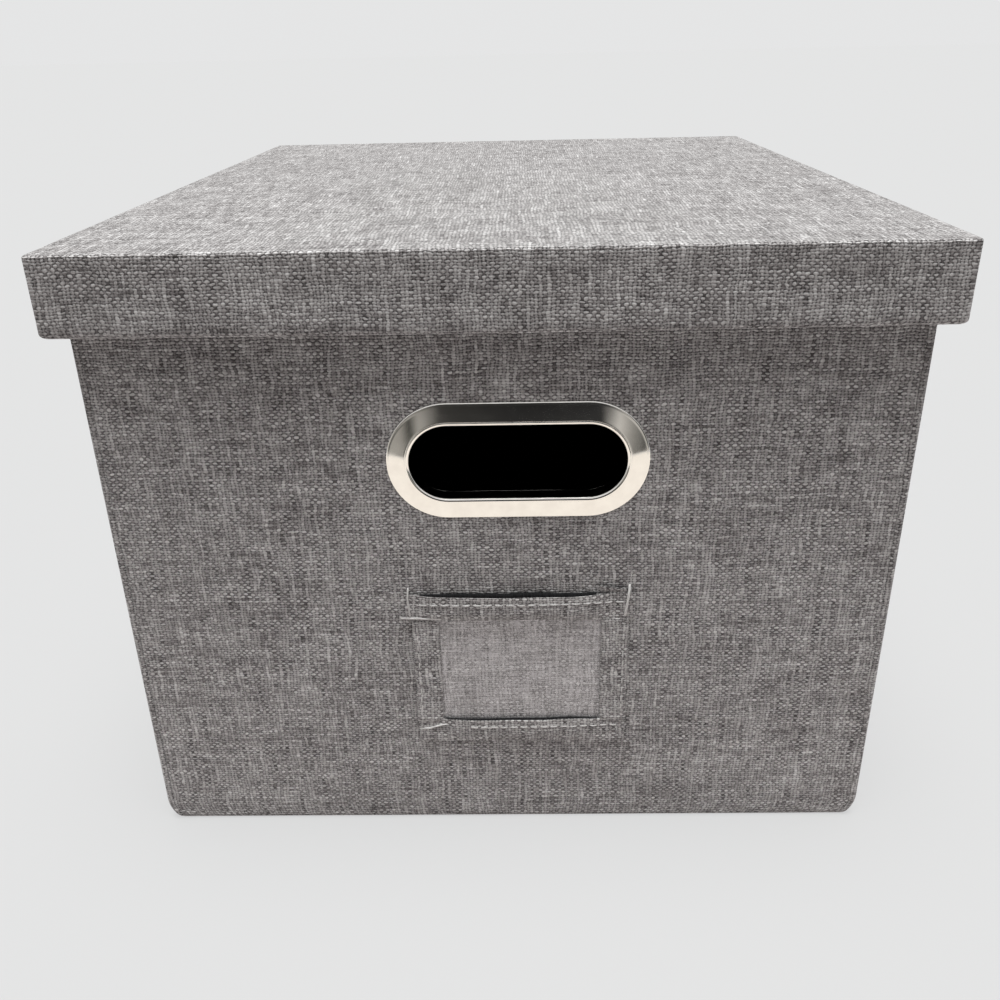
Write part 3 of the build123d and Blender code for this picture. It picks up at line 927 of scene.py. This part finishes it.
def lid_lining_piece():
    xs = spread(-lining_half_x, lining_half_x, 6.0)
    ys = spread(-lining_half_y, lining_half_y, 6.0)
    flat = [(x, y) for y in ys for x in xs]
    points = []
    for x, y in flat:
        quiet = ease(0.0, 20.0, lining_half_x - abs(x)) * ease(0.0, 20.0, lining_half_y - abs(y))
        points.append((x, y, LID_CEILING - 0.05 - quiet * lining_wave(x, y, 71, 0.12)))
    faces = [f[::-1] for f in grid_faces(len(xs), len(ys))]
    corner_uv = [flat[i] for f in faces for i in f]
    border = grid_border(len(xs), len(ys))
    rings = [border]
    drops = [0.0, 3.0, 6.5, lining_drop]
    for drop in drops[1:]:
        rings.append(range(len(points), len(points) + len(border)))
        points += [(*flat[i], LID_CEILING - drop) for i in border]
    join_rings(
        faces, corner_uv, rings,
        lambda ring, station, i, n: (sum(flat[border[station]]), drops[ring] + LID_SIDES_SHIFT), True,
    )
    return make("lid_lining_cloth", points, faces, corner_uv, NON_WOVEN, "lid", "lid_lining", LINING)


lid_lining_cloth = lid_lining_piece()

# ---- Floor board's wrap ----
WRAP_TOP_INSET = 2.5
WRAP_UNDER = 15.0  # what turns under the board and over its top edge
WRAP_OVER = 3.0
wrap_low, wrap_high = span("floor_board_wrap")
wrap_stations, wrap_travel = loop_stations(wrap_high.x, wrap_high.y, 0.5, 6.0, 3)
wrap_rows = [(-inward, z, z * 1.5 - inward) for z, inward in (
    (wrap_low.z, WRAP_UNDER), (wrap_low.z, 5.0), (wrap_low.z, 0.8), (wrap_low.z + 0.3, 0.2),
    (wrap_low.z + 0.9, 0.0), (wrap_high.z - 0.9, 0.0), (wrap_high.z - 0.3, 0.2),
    (wrap_high.z, 0.8), (wrap_high.z, WRAP_OVER),
)]
floor_wrap_edge = ring(
    "floor_wrap_edge", wrap_stations, wrap_travel, wrap_rows,
    NON_WOVEN, "floor_insert", "floor_board_wrap", LINING, 9,
)
floor_wrap_top = flat_sheet(
    "floor_wrap_top",
    spread(wrap_low.x + WRAP_TOP_INSET, wrap_high.x - WRAP_TOP_INSET, 6.0),
    spread(wrap_low.y + WRAP_TOP_INSET, wrap_high.y - WRAP_TOP_INSET, 6.0),
    lambda a, b: (a, b, wrap_high.z + 0.05 + lining_wave(a, b, 81, 0.10)),
    NON_WOVEN, seed=10, body="floor_insert",
)


# ---- Hand-hole grommets ----
def stadium_stations(width, height, straight_steps=14, arc_steps=30):
    """Stations round a stadium: place, way out, travel."""
    r = height / 2
    run = width / 2 - r
    stations = []
    travel = 0.0
    for way in (1, -1):
        for k in range(straight_steps):
            s = 2 * run * k / straight_steps
            stations.append((way * (s - run), -way * r, 0.0, -way, travel + s))
        travel += 2 * run
        for k in range(arc_steps):
            turn = pi * k / arc_steps
            nx, nz = cos(turn - way * pi / 2), sin(turn - way * pi / 2)
            stations.append((way * run + r * nx, r * nz, nx, nz, travel + r * turn))
        travel += pi * r
    return stations, travel


COLLAR_BACK = -5.5  # depth of the collar behind the linen's face
BEAD_FOOT = 0.95  # height where the collar starts to roll out
LIP = 8.05  # where the flange turns back to the linen
COLLAR_WALL = 0.7  # thickness of the metal
TAB_HALF = 3.5  # half of a clinched tab's width
TAB_PLACES = (-24.0, 0.0, 24.0)  # along the straights
TAB_BEND = [  # out, height, and from the middle of the metal to its two faces
    (0.35, -4.6, -0.22, -0.02),
    (0.35, -5.0, -0.22, -0.02),
    (0.5, -5.25, -0.16, -0.16),
    (0.85, -5.35, 0.0, -0.24),
    (1.6, -5.32, 0.0, -0.24),
    (2.6, -5.2, 0.0, -0.24),
    (3.4, -5.05, 0.0, -0.24),
]


def grommet_profile():
    """Section of the pressed rim: (out from the hole's edge, height above the linen)."""
    section = [(0.0, COLLAR_BACK), (0.0, COLLAR_BACK + 0.06), (0.0, -3.0), (0.0, 0.0)]
    section.append((0.0, BEAD_FOOT))
    for k in range(1, 11):
        angle = pi / 2 * k / 10
        section.append((1.25 * (1 - cos(angle)), BEAD_FOOT + 1.12 * sin(angle)))
    section += [(1.36, 2.05), (1.46, 1.99), (1.58, 1.97), (1.72, 1.99)]
    for k in range(13):
        t = k / 12
        section.append((1.9 + (LIP - 1.9) * t, 1.98 - 1.28 * t - 0.17 * t * t))
    for k in range(1, 7):
        angle = pi / 2 * k / 6
        section.append((LIP + 0.95 * sin(angle), 0.05 + 0.48 * cos(angle)))
    section += [(8.6, 0.0), (8.3, 0.03), (7.6, 0.10), (5.0, 0.70), (2.4, 1.15)]
    return section + [(1.2, 0.95), (0.75, 0.5), (COLLAR_WALL, 0.0), (COLLAR_WALL, COLLAR_BACK)]


def grommet_piece(name, hole, side, node):
    stations, travel = stadium_stations(HOLE_WIDTH, HOLE_HEIGHT)
    section = grommet_profile()
    count, rows = len(stations), len(section)
    points, faces, corner_uv = [], [], []
    run = [0.0]
    for (u0, h0), (u1, h1) in zip(section, section[1:]):
        run.append(run[-1] + sqrt((u1 - u0) ** 2 + (h1 - h0) ** 2))

    def place(lx, lz, h):
        return hole[0] - side * lx, side * (HALF_Y + h), hole[1] + lz

    for u, h in section:
        for x, z, nx, nz, s in stations:
            points.append(place(x + nx * u, z + nz * u, h))
    run.append(run[-1] + COLLAR_WALL)
    travels = [station[4] for station in stations] + [travel]
    for j in range(rows):
        there = (j + 1) % rows * count
        band(faces, corner_uv, j * count, there, travels, run[j], run[j + 1])
    spots = [(x, sz * HOLE_HEIGHT / 2, 0.0, sz) for x in TAB_PLACES for sz in (-1.0, 1.0)]
    spots += [(sx * HOLE_WIDTH / 2, 0.0, sx, 0.0) for sx in (-1.0, 1.0)]
    for sx, sz, nx, nz in spots:
        base = len(points)
        for k, (u, h, du, dh) in enumerate(TAB_BEND):
            half = TAB_HALF - 0.45 * max(0, k - 4)
            for w in (-half, half):
                for sign in (-1, 1):
                    out = u + sign * du
                    points.append(place(sx + nx * out - nz * w, sz + nz * out + nx * w, h + sign * dh))
        for k in range(len(TAB_BEND) - 1):
            a = base + 4 * k
            b = a + 4
            for p, q in ((0, 1), (1, 3), (3, 2), (2, 0)):
                faces.append((a + p, a + q, b + q, b + p))
                corner_uv.extend(((0, k), (1, k), (1, k + 1), (0, k + 1)))
        last = base + 4 * (len(TAB_BEND) - 1)
        for cap in ((base, base + 2, base + 3, base + 1), (last, last + 1, last + 3, last + 2)):
            faces.append(cap)
            corner_uv.extend(((0, 0), (1, 0), (1, 1), (0, 1)))
    piece = make(name, points, faces, corner_uv, NICKEL, node=node)
    bm = bmesh.new()
    bm.from_mesh(piece.data)
    bmesh.ops.recalc_face_normals(bm, faces=bm.faces)
    bm.to_mesh(piece.data)
    bm.free()


grommet_piece("front_grommet_rim", FRONT_HOLE, -1, "front_grommet")
grommet_piece("rear_grommet_rim", REAR_HOLE, 1, "rear_grommet")

# ---- Label holder ----
window_low, window_high = span("label_window")
LABEL_X = (window_low.x + window_high.x) / 2
(bottom_low, bottom_high), (left_low, left_high), (right_low, right_high), (top_low, top_high) = (
    span("label_tape_" + side) for side in ("bottom", "left", "right", "top")
)


def film_place(a, b):
    return a, FACE - (0.52 + 0.10 * wobble(a, b, 91, 20.0) + 0.16 * ease(95.0, 118.0, b)), b


label_film = flat_sheet(
    "label_film",
    spread(window_low.x, window_high.x, 1.6),
    spread(window_low.z, window_high.z, 1.6),
    film_place, FILM, "label_window", FILM_SHEET,
)
label_film.visible_shadow = False
label_film.visible_diffuse = False
TAPE_SHARES = [0.0, 0.02, 0.06, 0.12, 0.2, 0.3, 0.4, 0.5, 0.6, 0.7, 0.8, 0.88, 0.94, 0.98, 1.0]


def tape_piece(name, node, along, across, place, upright=False):
    """A folded linen tape: place gives the point at a distance along it and a share across."""
    flat = [(s, share) for share in TAPE_SHARES for s in along]
    points = [place(s, share) for s, share in flat]
    uv = [(share * across, s) if upright else (s, share * across) for s, share in flat]
    faces = grid_faces(len(along), len(TAPE_SHARES))
    return make(name, points, faces, uv, TAPE_LINEN_PAINTED_LIGHT, node=node, thickness=TAPE)


def tape_height(share, outer, inner, crown):
    """Section across a tape: rounded edges at these heights and a low crown."""
    edge = min(share, 1 - share)
    shoulder = sqrt(max(0.0, 1 - (1 - min(edge / 0.09, 1.0)) ** 2))
    foot = outer if share < 0.5 else inner
    return foot + (crown - foot) * shoulder


def upright_tape(low, high, seed, mirrored):
    def place(s, share):
        x = low.x + share * (high.x - low.x) + 0.30 * wobble(s, share, seed, 13.0)
        crown = 1.35 + 0.10 * wobble(s, share * 11, seed + 1, 9.0)
        return x, FACE - tape_height(1 - share if mirrored else share, 0.55, 0.85, crown), s
    return place


left_tape = upright_tape(left_low, left_high, 101, False)
right_tape = upright_tape(right_low, right_high, 103, True)


def bottom_gape(x):
    return arch(x, LABEL_X, 36.0)


def bottom_tape(s, share):
    z = bottom_low.z + share * (bottom_high.z - bottom_low.z) + 0.35 * wobble(s, share, 105, 17.0)
    h = tape_height(min(share, 0.5), 0.45, 0.45, 1.35) + 0.10 * wobble(s, share * 12, 106, 10.0)
    return s, FACE - h - 1.1 * bottom_gape(s) * ease(0.05, 0.5, share), z


def top_tape(s, share):
    gape = arch(s, LABEL_X - 3.0, 40.0)
    z = top_low.z + share * (top_high.z - top_low.z) + 0.30 * wobble(s, share, 107, 19.0)
    h = tape_height(min(share, 0.5), 0.9, 0.9, 1.5) + 0.10 * wobble(s, share * 12, 108, 10.0)
    return s, FACE - h - 1.9 * gape * ease(0.0, 0.35, share), z - 0.9 * gape * share


TOP_FOLD = (LABEL_X + 31.5, LABEL_X + 46.0)


def top_fold(s, share):
    """A pucker of the pocket's back layer, just above the right end of the top tape."""
    t = (s - TOP_FOLD[0]) / (TOP_FOLD[1] - TOP_FOLD[0])
    z = top_high.z - 4.0 + share * (7.4 - 1.9 * t)
    return s, FACE - 0.55 - 1.25 * share ** 1.5 * sin(pi * (0.15 + 0.75 * t)), z


def stitches(name, runs, radius, material):
    """Sewing thread: round runs through these (x, z, height above the linen) points."""
    sides = 8
    points, faces, uv = [], [], []
    for run in runs:
        spots = [Vector((x, FACE - h, z)) for x, z, h in run]
        base = len(points)
        for k, spot in enumerate(spots):
            way = (spots[min(k + 1, len(spots) - 1)] - spots[max(k - 1, 0)]).normalized()
            across = way.cross(Vector((0.0, 1.0, 0.0))).normalized()
            up = across.cross(way)
            for i in range(sides):
                angle = 2 * pi * i / sides
                points.append(spot + radius * (across * cos(angle) + up * sin(angle)))
        for k in range(len(spots) - 1):
            here = base + k * sides
            band(faces, uv, here, here + sides, [i * 0.3 for i in range(sides + 1)], k, k + 1)
        last = base + (len(spots) - 1) * sides
        faces.append(tuple(base + i for i in reversed(range(sides))))
        faces.append(tuple(last + i for i in range(sides)))
        uv.extend((0.0, 0.0) for i in range(2 * sides))
    return make(name, points, faces, uv, material)


PITCH = 4.4  # from one stitch to the next
STITCH = 1 - 1.5 / PITCH  # share of the pitch where the thread is on top
STITCH_SHAPE = (
    (0.0, -0.45), (0.06, 0.0), (0.22, 0.16), (0.5, 0.22), (0.78, 0.16), (0.94, 0.0), (1.0, -0.45)
)


def seam(start, end, height):
    """Running stitches, each one arching out of the cloth. height is over the linen."""
    (x0, z0), (x1, z1) = start, end
    length = sqrt((x1 - x0) ** 2 + (z1 - z0) ** 2)
    count = max(1, round(length / PITCH))
    runs = []
    for k in range(count):
        run = []
        for t, rise in STITCH_SHAPE:
            along = (k + t * STITCH) * length / count
            x = x0 + (x1 - x0) * along / length + 0.12 * wobble(along, k, 121, 5.0)
            z = z0 + (z1 - z0) * along / length + 0.12 * wobble(along, k, 122, 5.0)
            run.append((x, z, height(x, z) + rise))
        runs.append(run)
    return runs


up_tape = spread(left_low.z - 1.0, left_high.z + 1.0, 1.5)
left_label = tape_piece("label_left", "label_tape_left", up_tape, 11.0, left_tape, True)
right_label = tape_piece("label_right", "label_tape_right", up_tape, 11.0, right_tape, True)
bottom_label = tape_piece(
    "label_bottom", "label_tape_bottom", spread(bottom_low.x, bottom_high.x, 1.5), 12.5, bottom_tape
)
top_label = tape_piece(
    "label_top", "label_tape_top", spread(top_low.x, top_high.x, 1.5), 13.0, top_tape
)
label_fold = tape_piece("label_top_fold", None, spread(*TOP_FOLD, 1.2), 7.0, top_fold)


def painted_shade_strip(name, low, high, foot, top, height, seed, thickness, map_seed):
    """A black strip put at an open edge of the pocket as painted shade, where there is only shadow. foot
    and top give its edges along x.
    """
    def place(a, b):
        lower = foot(a)
        return a, FACE - height, lower + b * (top(a) + 0.15 * wobble(a, b, seed, 4.0) - lower)

    shares = [0.0, 0.25, 0.5, 0.75, 1.0]
    return flat_sheet(
        name, spread(low, high, 1.5), shares, place, NON_WOVEN, thickness=thickness, seed=map_seed
    )


# Painted shade: black strips in the top tape's open mouth and under the film's foot stand in for the
# shadow there.
pocket_mouth_shade = painted_shade_strip(
    "pocket_mouth_painted_shade", LABEL_X - 41.0, LABEL_X + 35.0,
    lambda x: top_tape(x, 0.4)[2],
    lambda x: top_tape(x, 1.0)[2] + 0.75 * arch(x, LABEL_X - 3.0, 39.0),
    0.62, 131, 0.2, 12,
)
film_foot_shade = painted_shade_strip(
    "film_foot_painted_shade", LABEL_X - 33.0, LABEL_X + 33.0,
    lambda x: bottom_tape(x, 0.6)[2],
    lambda x: bottom_tape(x, 1.0)[2] + 0.12 * bottom_gape(x),
    0.95, 133, 0.15, 13,
)


def over(tape, low, high, upright=False):
    """Height of a tape's face above the linen, at a place on the front."""
    def height(x, z):
        share = min(max(((x if upright else z) - low) / (high - low), 0.0), 1.0)
        return FACE - tape(z if upright else x, share)[1]
    return height


over_top = over(top_tape, top_low.z, top_high.z)
over_bottom = over(bottom_tape, bottom_low.z, bottom_high.z)
over_left = over(left_tape, left_low.x, left_high.x, True)
over_right = over(right_tape, right_low.x, right_high.x, True)
sewn = seam((LABEL_X - 41.5, 115.6), (LABEL_X + 44.0, 115.9), over_top)
sewn += seam((LABEL_X - 22.0, 53.2), (LABEL_X + 43.0, 53.4), over_bottom)
sewn += seam((left_low.x + 2.0, 62.0), (left_low.x + 1.8, 106.0), over_left)
sewn += seam((right_high.x - 2.0, 62.0), (right_high.x - 1.8, 106.0), over_right)
stitches("pocket_stitches", sewn, 0.30, GREY_THREAD)
tack = [
    (50.9, 123.2, 0.2), (50.85, 122.6, 1.6), (50.5, 119.0, 2.2), (50.0, 115.0, 2.3),
    (49.6, 111.5, 2.2), (49.45, 109.9, 1.8), (49.4, 109.2, 0.5),
]
stitches("tack_stitch", [tack], 0.55, WHITE_THREAD)
loose = [
    [
        (-39.9, 122.6, 0.2), (-39.9, 121.8, 1.4), (-40.2, 118.0, 1.75),
        (-39.9, 114.0, 1.8), (-39.7, 110.2, 1.7), (-39.6, 109.2, 0.6),
    ],
    [
        (-43.8, 108.6, 0.3), (-43.2, 108.7, 1.1), (-38.0, 109.1, 1.85),
        (-33.0, 108.8, 1.8), (-27.4, 108.7, 1.6), (-26.6, 108.6, 0.5),
    ],
    [
        (-39.2, 51.2, 0.2), (-38.6, 51.6, 1.0), (-34.0, 52.6, 1.75),
        (-30.0, 54.0, 1.8), (-26.6, 54.5, 1.6), (-26.0, 54.5, 0.6),
    ],
]
stitches("pocket_threads", loose, 0.40, GREY_THREAD)


# ---- Flat sizes of the cut cloth ----
def cut(piece, width, length, rests_on, with_pieces=()):
    """A sheet and its flat cut. The flat cut's measures, and what its rectangle lacks, are in
    millimetres; they are not used.
    """
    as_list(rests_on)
    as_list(with_pieces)


SELVEDGE = 1.5  # what the roll of a tape's edge adds to its width
wall_length = WALL_TOP + UNDER_ROWS[0]
lining_length = FACING_FOOT - LINING_FOOT
wrap_width = max(s[4] for s in side_stations())
lid_turn = lid_rows[-1][3]
end_boards = [["front_board"], ["rear_board"]]
side_boards = [[side + "_front_board", side + "_rear_board"] for side in ("left", "right")]
for piece, boards in zip((front_linen, rear_linen), end_boards):
    cut(piece, 2 * SEAM_X, wall_length, boards)
for piece, boards in zip((left_linen, right_linen), side_boards):
    cut(piece, wrap_width, wall_length, boards)
cut(
    lid_linen, 2 * (LID_X - LID_EDGE + lid_turn), 2 * (LID_Y - LID_EDGE + lid_turn),
    ["lid_top_board"],
)
cut(
    lid_lining_cloth, 2 * (lining_half_x + lining_drop), 2 * (lining_half_y + lining_drop),
    ["lid_top_board"],
)
for piece, boards in zip((front_lining_cloth, rear_lining_cloth), end_boards):
    cut(piece, 2 * (LINING_X - LINING_MARGIN), lining_length, boards)
for piece, boards in zip((left_lining_cloth, right_lining_cloth), side_boards):
    cut(piece, 2 * (LINING_Y - LINING_MARGIN), lining_length, boards)
cut(
    bottom_lining_cloth, 2 * (LINING_X - BASE_INSET_X), 2 * (LINING_Y - BASE_INSET_Y),
    [base_cloth],
)
cut(
    base_cloth, 2 * (SEAM_X - SIDE_FOLD_DEPTH), 2 * SEAM_Y,
    [front_linen, rear_linen],
)
cut(rim_facing, rim_travel, rim_rows[-1][2], ["front_board", "rear_board"])
wrap_length = wrap_high.z - wrap_low.z + WRAP_UNDER + WRAP_OVER
cut(floor_wrap_edge, wrap_travel, wrap_length, ["floor_board"])
cut(
    floor_wrap_top, wrap_high.x - wrap_low.x - 2 * WRAP_TOP_INSET,
    wrap_high.y - wrap_low.y - 2 * WRAP_TOP_INSET, ["floor_board"],
)
cut(
    label_film, window_high.x - window_low.x, window_high.z - window_low.z,
    [front_linen],
)
for piece, low, high in ((left_label, left_low, left_high), (right_label, right_low, right_high)):
    cut(piece, high.x - low.x + SELVEDGE, up_tape[-1] - up_tape[0], [front_linen])
for piece, low, high, small in (
    (bottom_label, bottom_low, bottom_high, [film_foot_shade]),
    (top_label, top_low, top_high, [label_fold, pocket_mouth_shade]),
):
    cut(
        piece, high.x - low.x, high.z - low.z + SELVEDGE,
        [front_linen], with_pieces=small,
    )

# ---- Camera, light and floor ----
CAMERA_PLACE = (7.0, -543.51, 323.79)
CAMERA_YAW, CAMERA_PITCH, CAMERA_ROLL = 1.361, -25.064, 1.307
CAMERA_LENS = 35.009
SKY_LOBE = 25.9  # strength, tightness and tilt (degrees) of the soft light overhead
SKY_POWER = 30.0
SKY_TILT = -3.0
SKY_BASE = 0.06  # even light from all round
SHOWN_SKY = (0.783, 0.786, 0.788, 1.0)
FLOOR_BOUNCE = 0.48  # what the floor sends back to the object, near it and beyond
FAR_BOUNCE = 0.05
BOUNCE_TINT = (1.0, 0.93, 0.915)
FLOOR_LIT = 0.11  # the lit and the even part of the floor that shows
FLOOR_GLOW = 0.602
FLOOR_COLOUR = (0.985, 0.99, 0.99, 1.0)
FLOOR_REACH = 40.0


def camera():
    data = bpy.data.cameras.new("photo_camera")
    data.lens = CAMERA_LENS
    data.sensor_width = 36.0
    data.clip_start = 0.02
    data.clip_end = 60.0
    eye = bpy.data.objects.new("photo_camera", data)
    bpy.context.scene.collection.objects.link(eye)
    turn = Matrix.Rotation(radians(CAMERA_YAW), 3, "Z")
    turn = turn @ Matrix.Rotation(radians(CAMERA_PITCH), 3, "X")
    right, ahead, up = (turn @ Matrix.Rotation(radians(CAMERA_ROLL), 3, "Y")).col
    axes = Matrix((right, up, -ahead)).transposed().to_4x4()
    eye.matrix_world = Matrix.Translation(Vector(CAMERA_PLACE) * MM) @ axes
    bpy.context.scene.camera = eye


def flat_stage(name, corners):
    """A flat piece of the studio, with a black, matt material to fill."""
    mesh = bpy.data.meshes.new(name)
    mesh.from_pydata(corners, [], [(0, 1, 2, 3)])
    piece = bpy.data.objects.new(name, mesh)
    bpy.context.scene.collection.objects.link(piece)
    g = new_material(name)
    g.set(Roughness=1.0, Specular_IOR_Level=0.0, Base_Color=(0.0, 0.0, 0.0, 1.0))
    g.owner.cycles.emission_sampling = "NONE"
    mesh.materials.append(g.owner)
    return piece, g


def seen_rays(g):
    """1 for the rays that show the background: the camera's, glossy and transmitted ones."""
    rays = g.add("ShaderNodeLightPath").outputs
    glass = g.larger(rays["Is Glossy Ray"], rays["Is Transmission Ray"])
    return g.larger(rays["Is Camera Ray"], glass)


def floor_plane():
    """Pale floor. Part of its brightness is a plain background colour, and part is lit and shadowed."""
    far = FLOOR_REACH
    low = -0.0001
    corners = [(-far, -far, low), (far, -far, low), (far, far, low), (-far, far, low)]
    _, g = flat_stage("floor", corners)
    seen = seen_rays(g)
    x, y, _ = g.split(g.object_place())
    reach = g.larger(g.math("ABSOLUTE", x), g.math("ABSOLUTE", y))
    back = g.ranged(reach, 0.68, 0.84, FLOOR_BOUNCE, FAR_BOUNCE)
    channels = [g.mix(seen, g.times(back, tint), FLOOR_LIT) for tint in BOUNCE_TINT]
    g.set(
        Base_Color=g.colour(*channels),
        Emission_Color=FLOOR_COLOUR,
        Emission_Strength=g.times(seen, FLOOR_GLOW),
    )


def card(name, corners, stops, low, high, fade=None):
    """A studio card that only shows in gloss: a gradient along x, and a fade with height."""
    piece, g = flat_stage(name, corners)
    x, _, z = g.split(g.object_place())
    g.set(Emission_Color=g.ramp(g.ranged(x, low, high), stops), Emission_Strength=1.0)
    if fade:
        bend = g.times(g.minus(g.noise(g.object_place(), 9.0, 1.0), 0.5), 0.16)
        g.set(Emission_Strength=g.ranged(g.plus(z, bend), *fade, smooth=True))
    piece.visible_camera = False
    piece.visible_diffuse = False
    piece.visible_shadow = False
    piece.visible_transmission = False


def world():
    """Plain background, and a soft light from overhead for all the rays that don't show it."""
    sky = bpy.data.worlds.new("studio")
    bpy.context.scene.world = sky
    g = Graph(sky)
    g.tree.nodes.clear()
    lobe = g.add("ShaderNodeVectorMath", operation="DOT_PRODUCT")
    overhead = (0.0, sin(radians(SKY_TILT)), cos(radians(SKY_TILT)))
    g.fill(lobe, g.add("ShaderNodeTexCoord").outputs["Generated"], overhead)
    shape = g.math("POWER", g.larger(lobe.outputs["Value"], 0.0), SKY_POWER)
    level = g.times_plus(shape, SKY_LOBE, SKY_BASE)
    light = g.fill(g.add("ShaderNodeBackground"), (1.0, 1.0, 1.0, 1.0), level)
    shown = g.fill(g.add("ShaderNodeBackground"), SHOWN_SKY, 1.0)
    choose = g.fill(g.add("ShaderNodeMixShader"), seen_rays(g), light, shown)
    g.put(g.add("ShaderNodeOutputWorld").inputs[0], choose)


camera()
world()
floor_plane()
card(
    "dark_card",
    [(-1.3, -0.66, 0.0), (1.3, -0.66, 0.0), (1.3, -0.66, 0.36), (-1.3, -0.66, 0.36)],
    [
        (0.0, (0.50, 0.485, 0.45)), (0.22, (0.34, 0.325, 0.30)), (0.28, (0.05, 0.05, 0.045)),
        (0.34, (0.40, 0.385, 0.36)), (0.46, (0.055, 0.053, 0.05)), (0.56, (0.03, 0.03, 0.03)),
        (0.70, (0.04, 0.04, 0.04)), (0.80, (0.62, 0.60, 0.57)), (0.88, (0.30, 0.29, 0.27)),
        (1.0, (0.04, 0.04, 0.04)),
    ],
    -0.5, 0.4, (0.17, 0.40, 1.0, 0.30),
)
card(
    "bright_card",
    [(-0.6, -0.65, 0.0002), (0.6, -0.65, 0.0002), (0.6, -0.215, 0.0002), (-0.6, -0.215, 0.0002)],
    [(0.0, (1.08, 1.01, 0.93)), (1.0, (1.08, 1.01, 0.93))],
    -1.0, 1.0,
)

bpy.context.scene.view_settings.view_transform = "Standard"
bpy.context.view_layer.update()
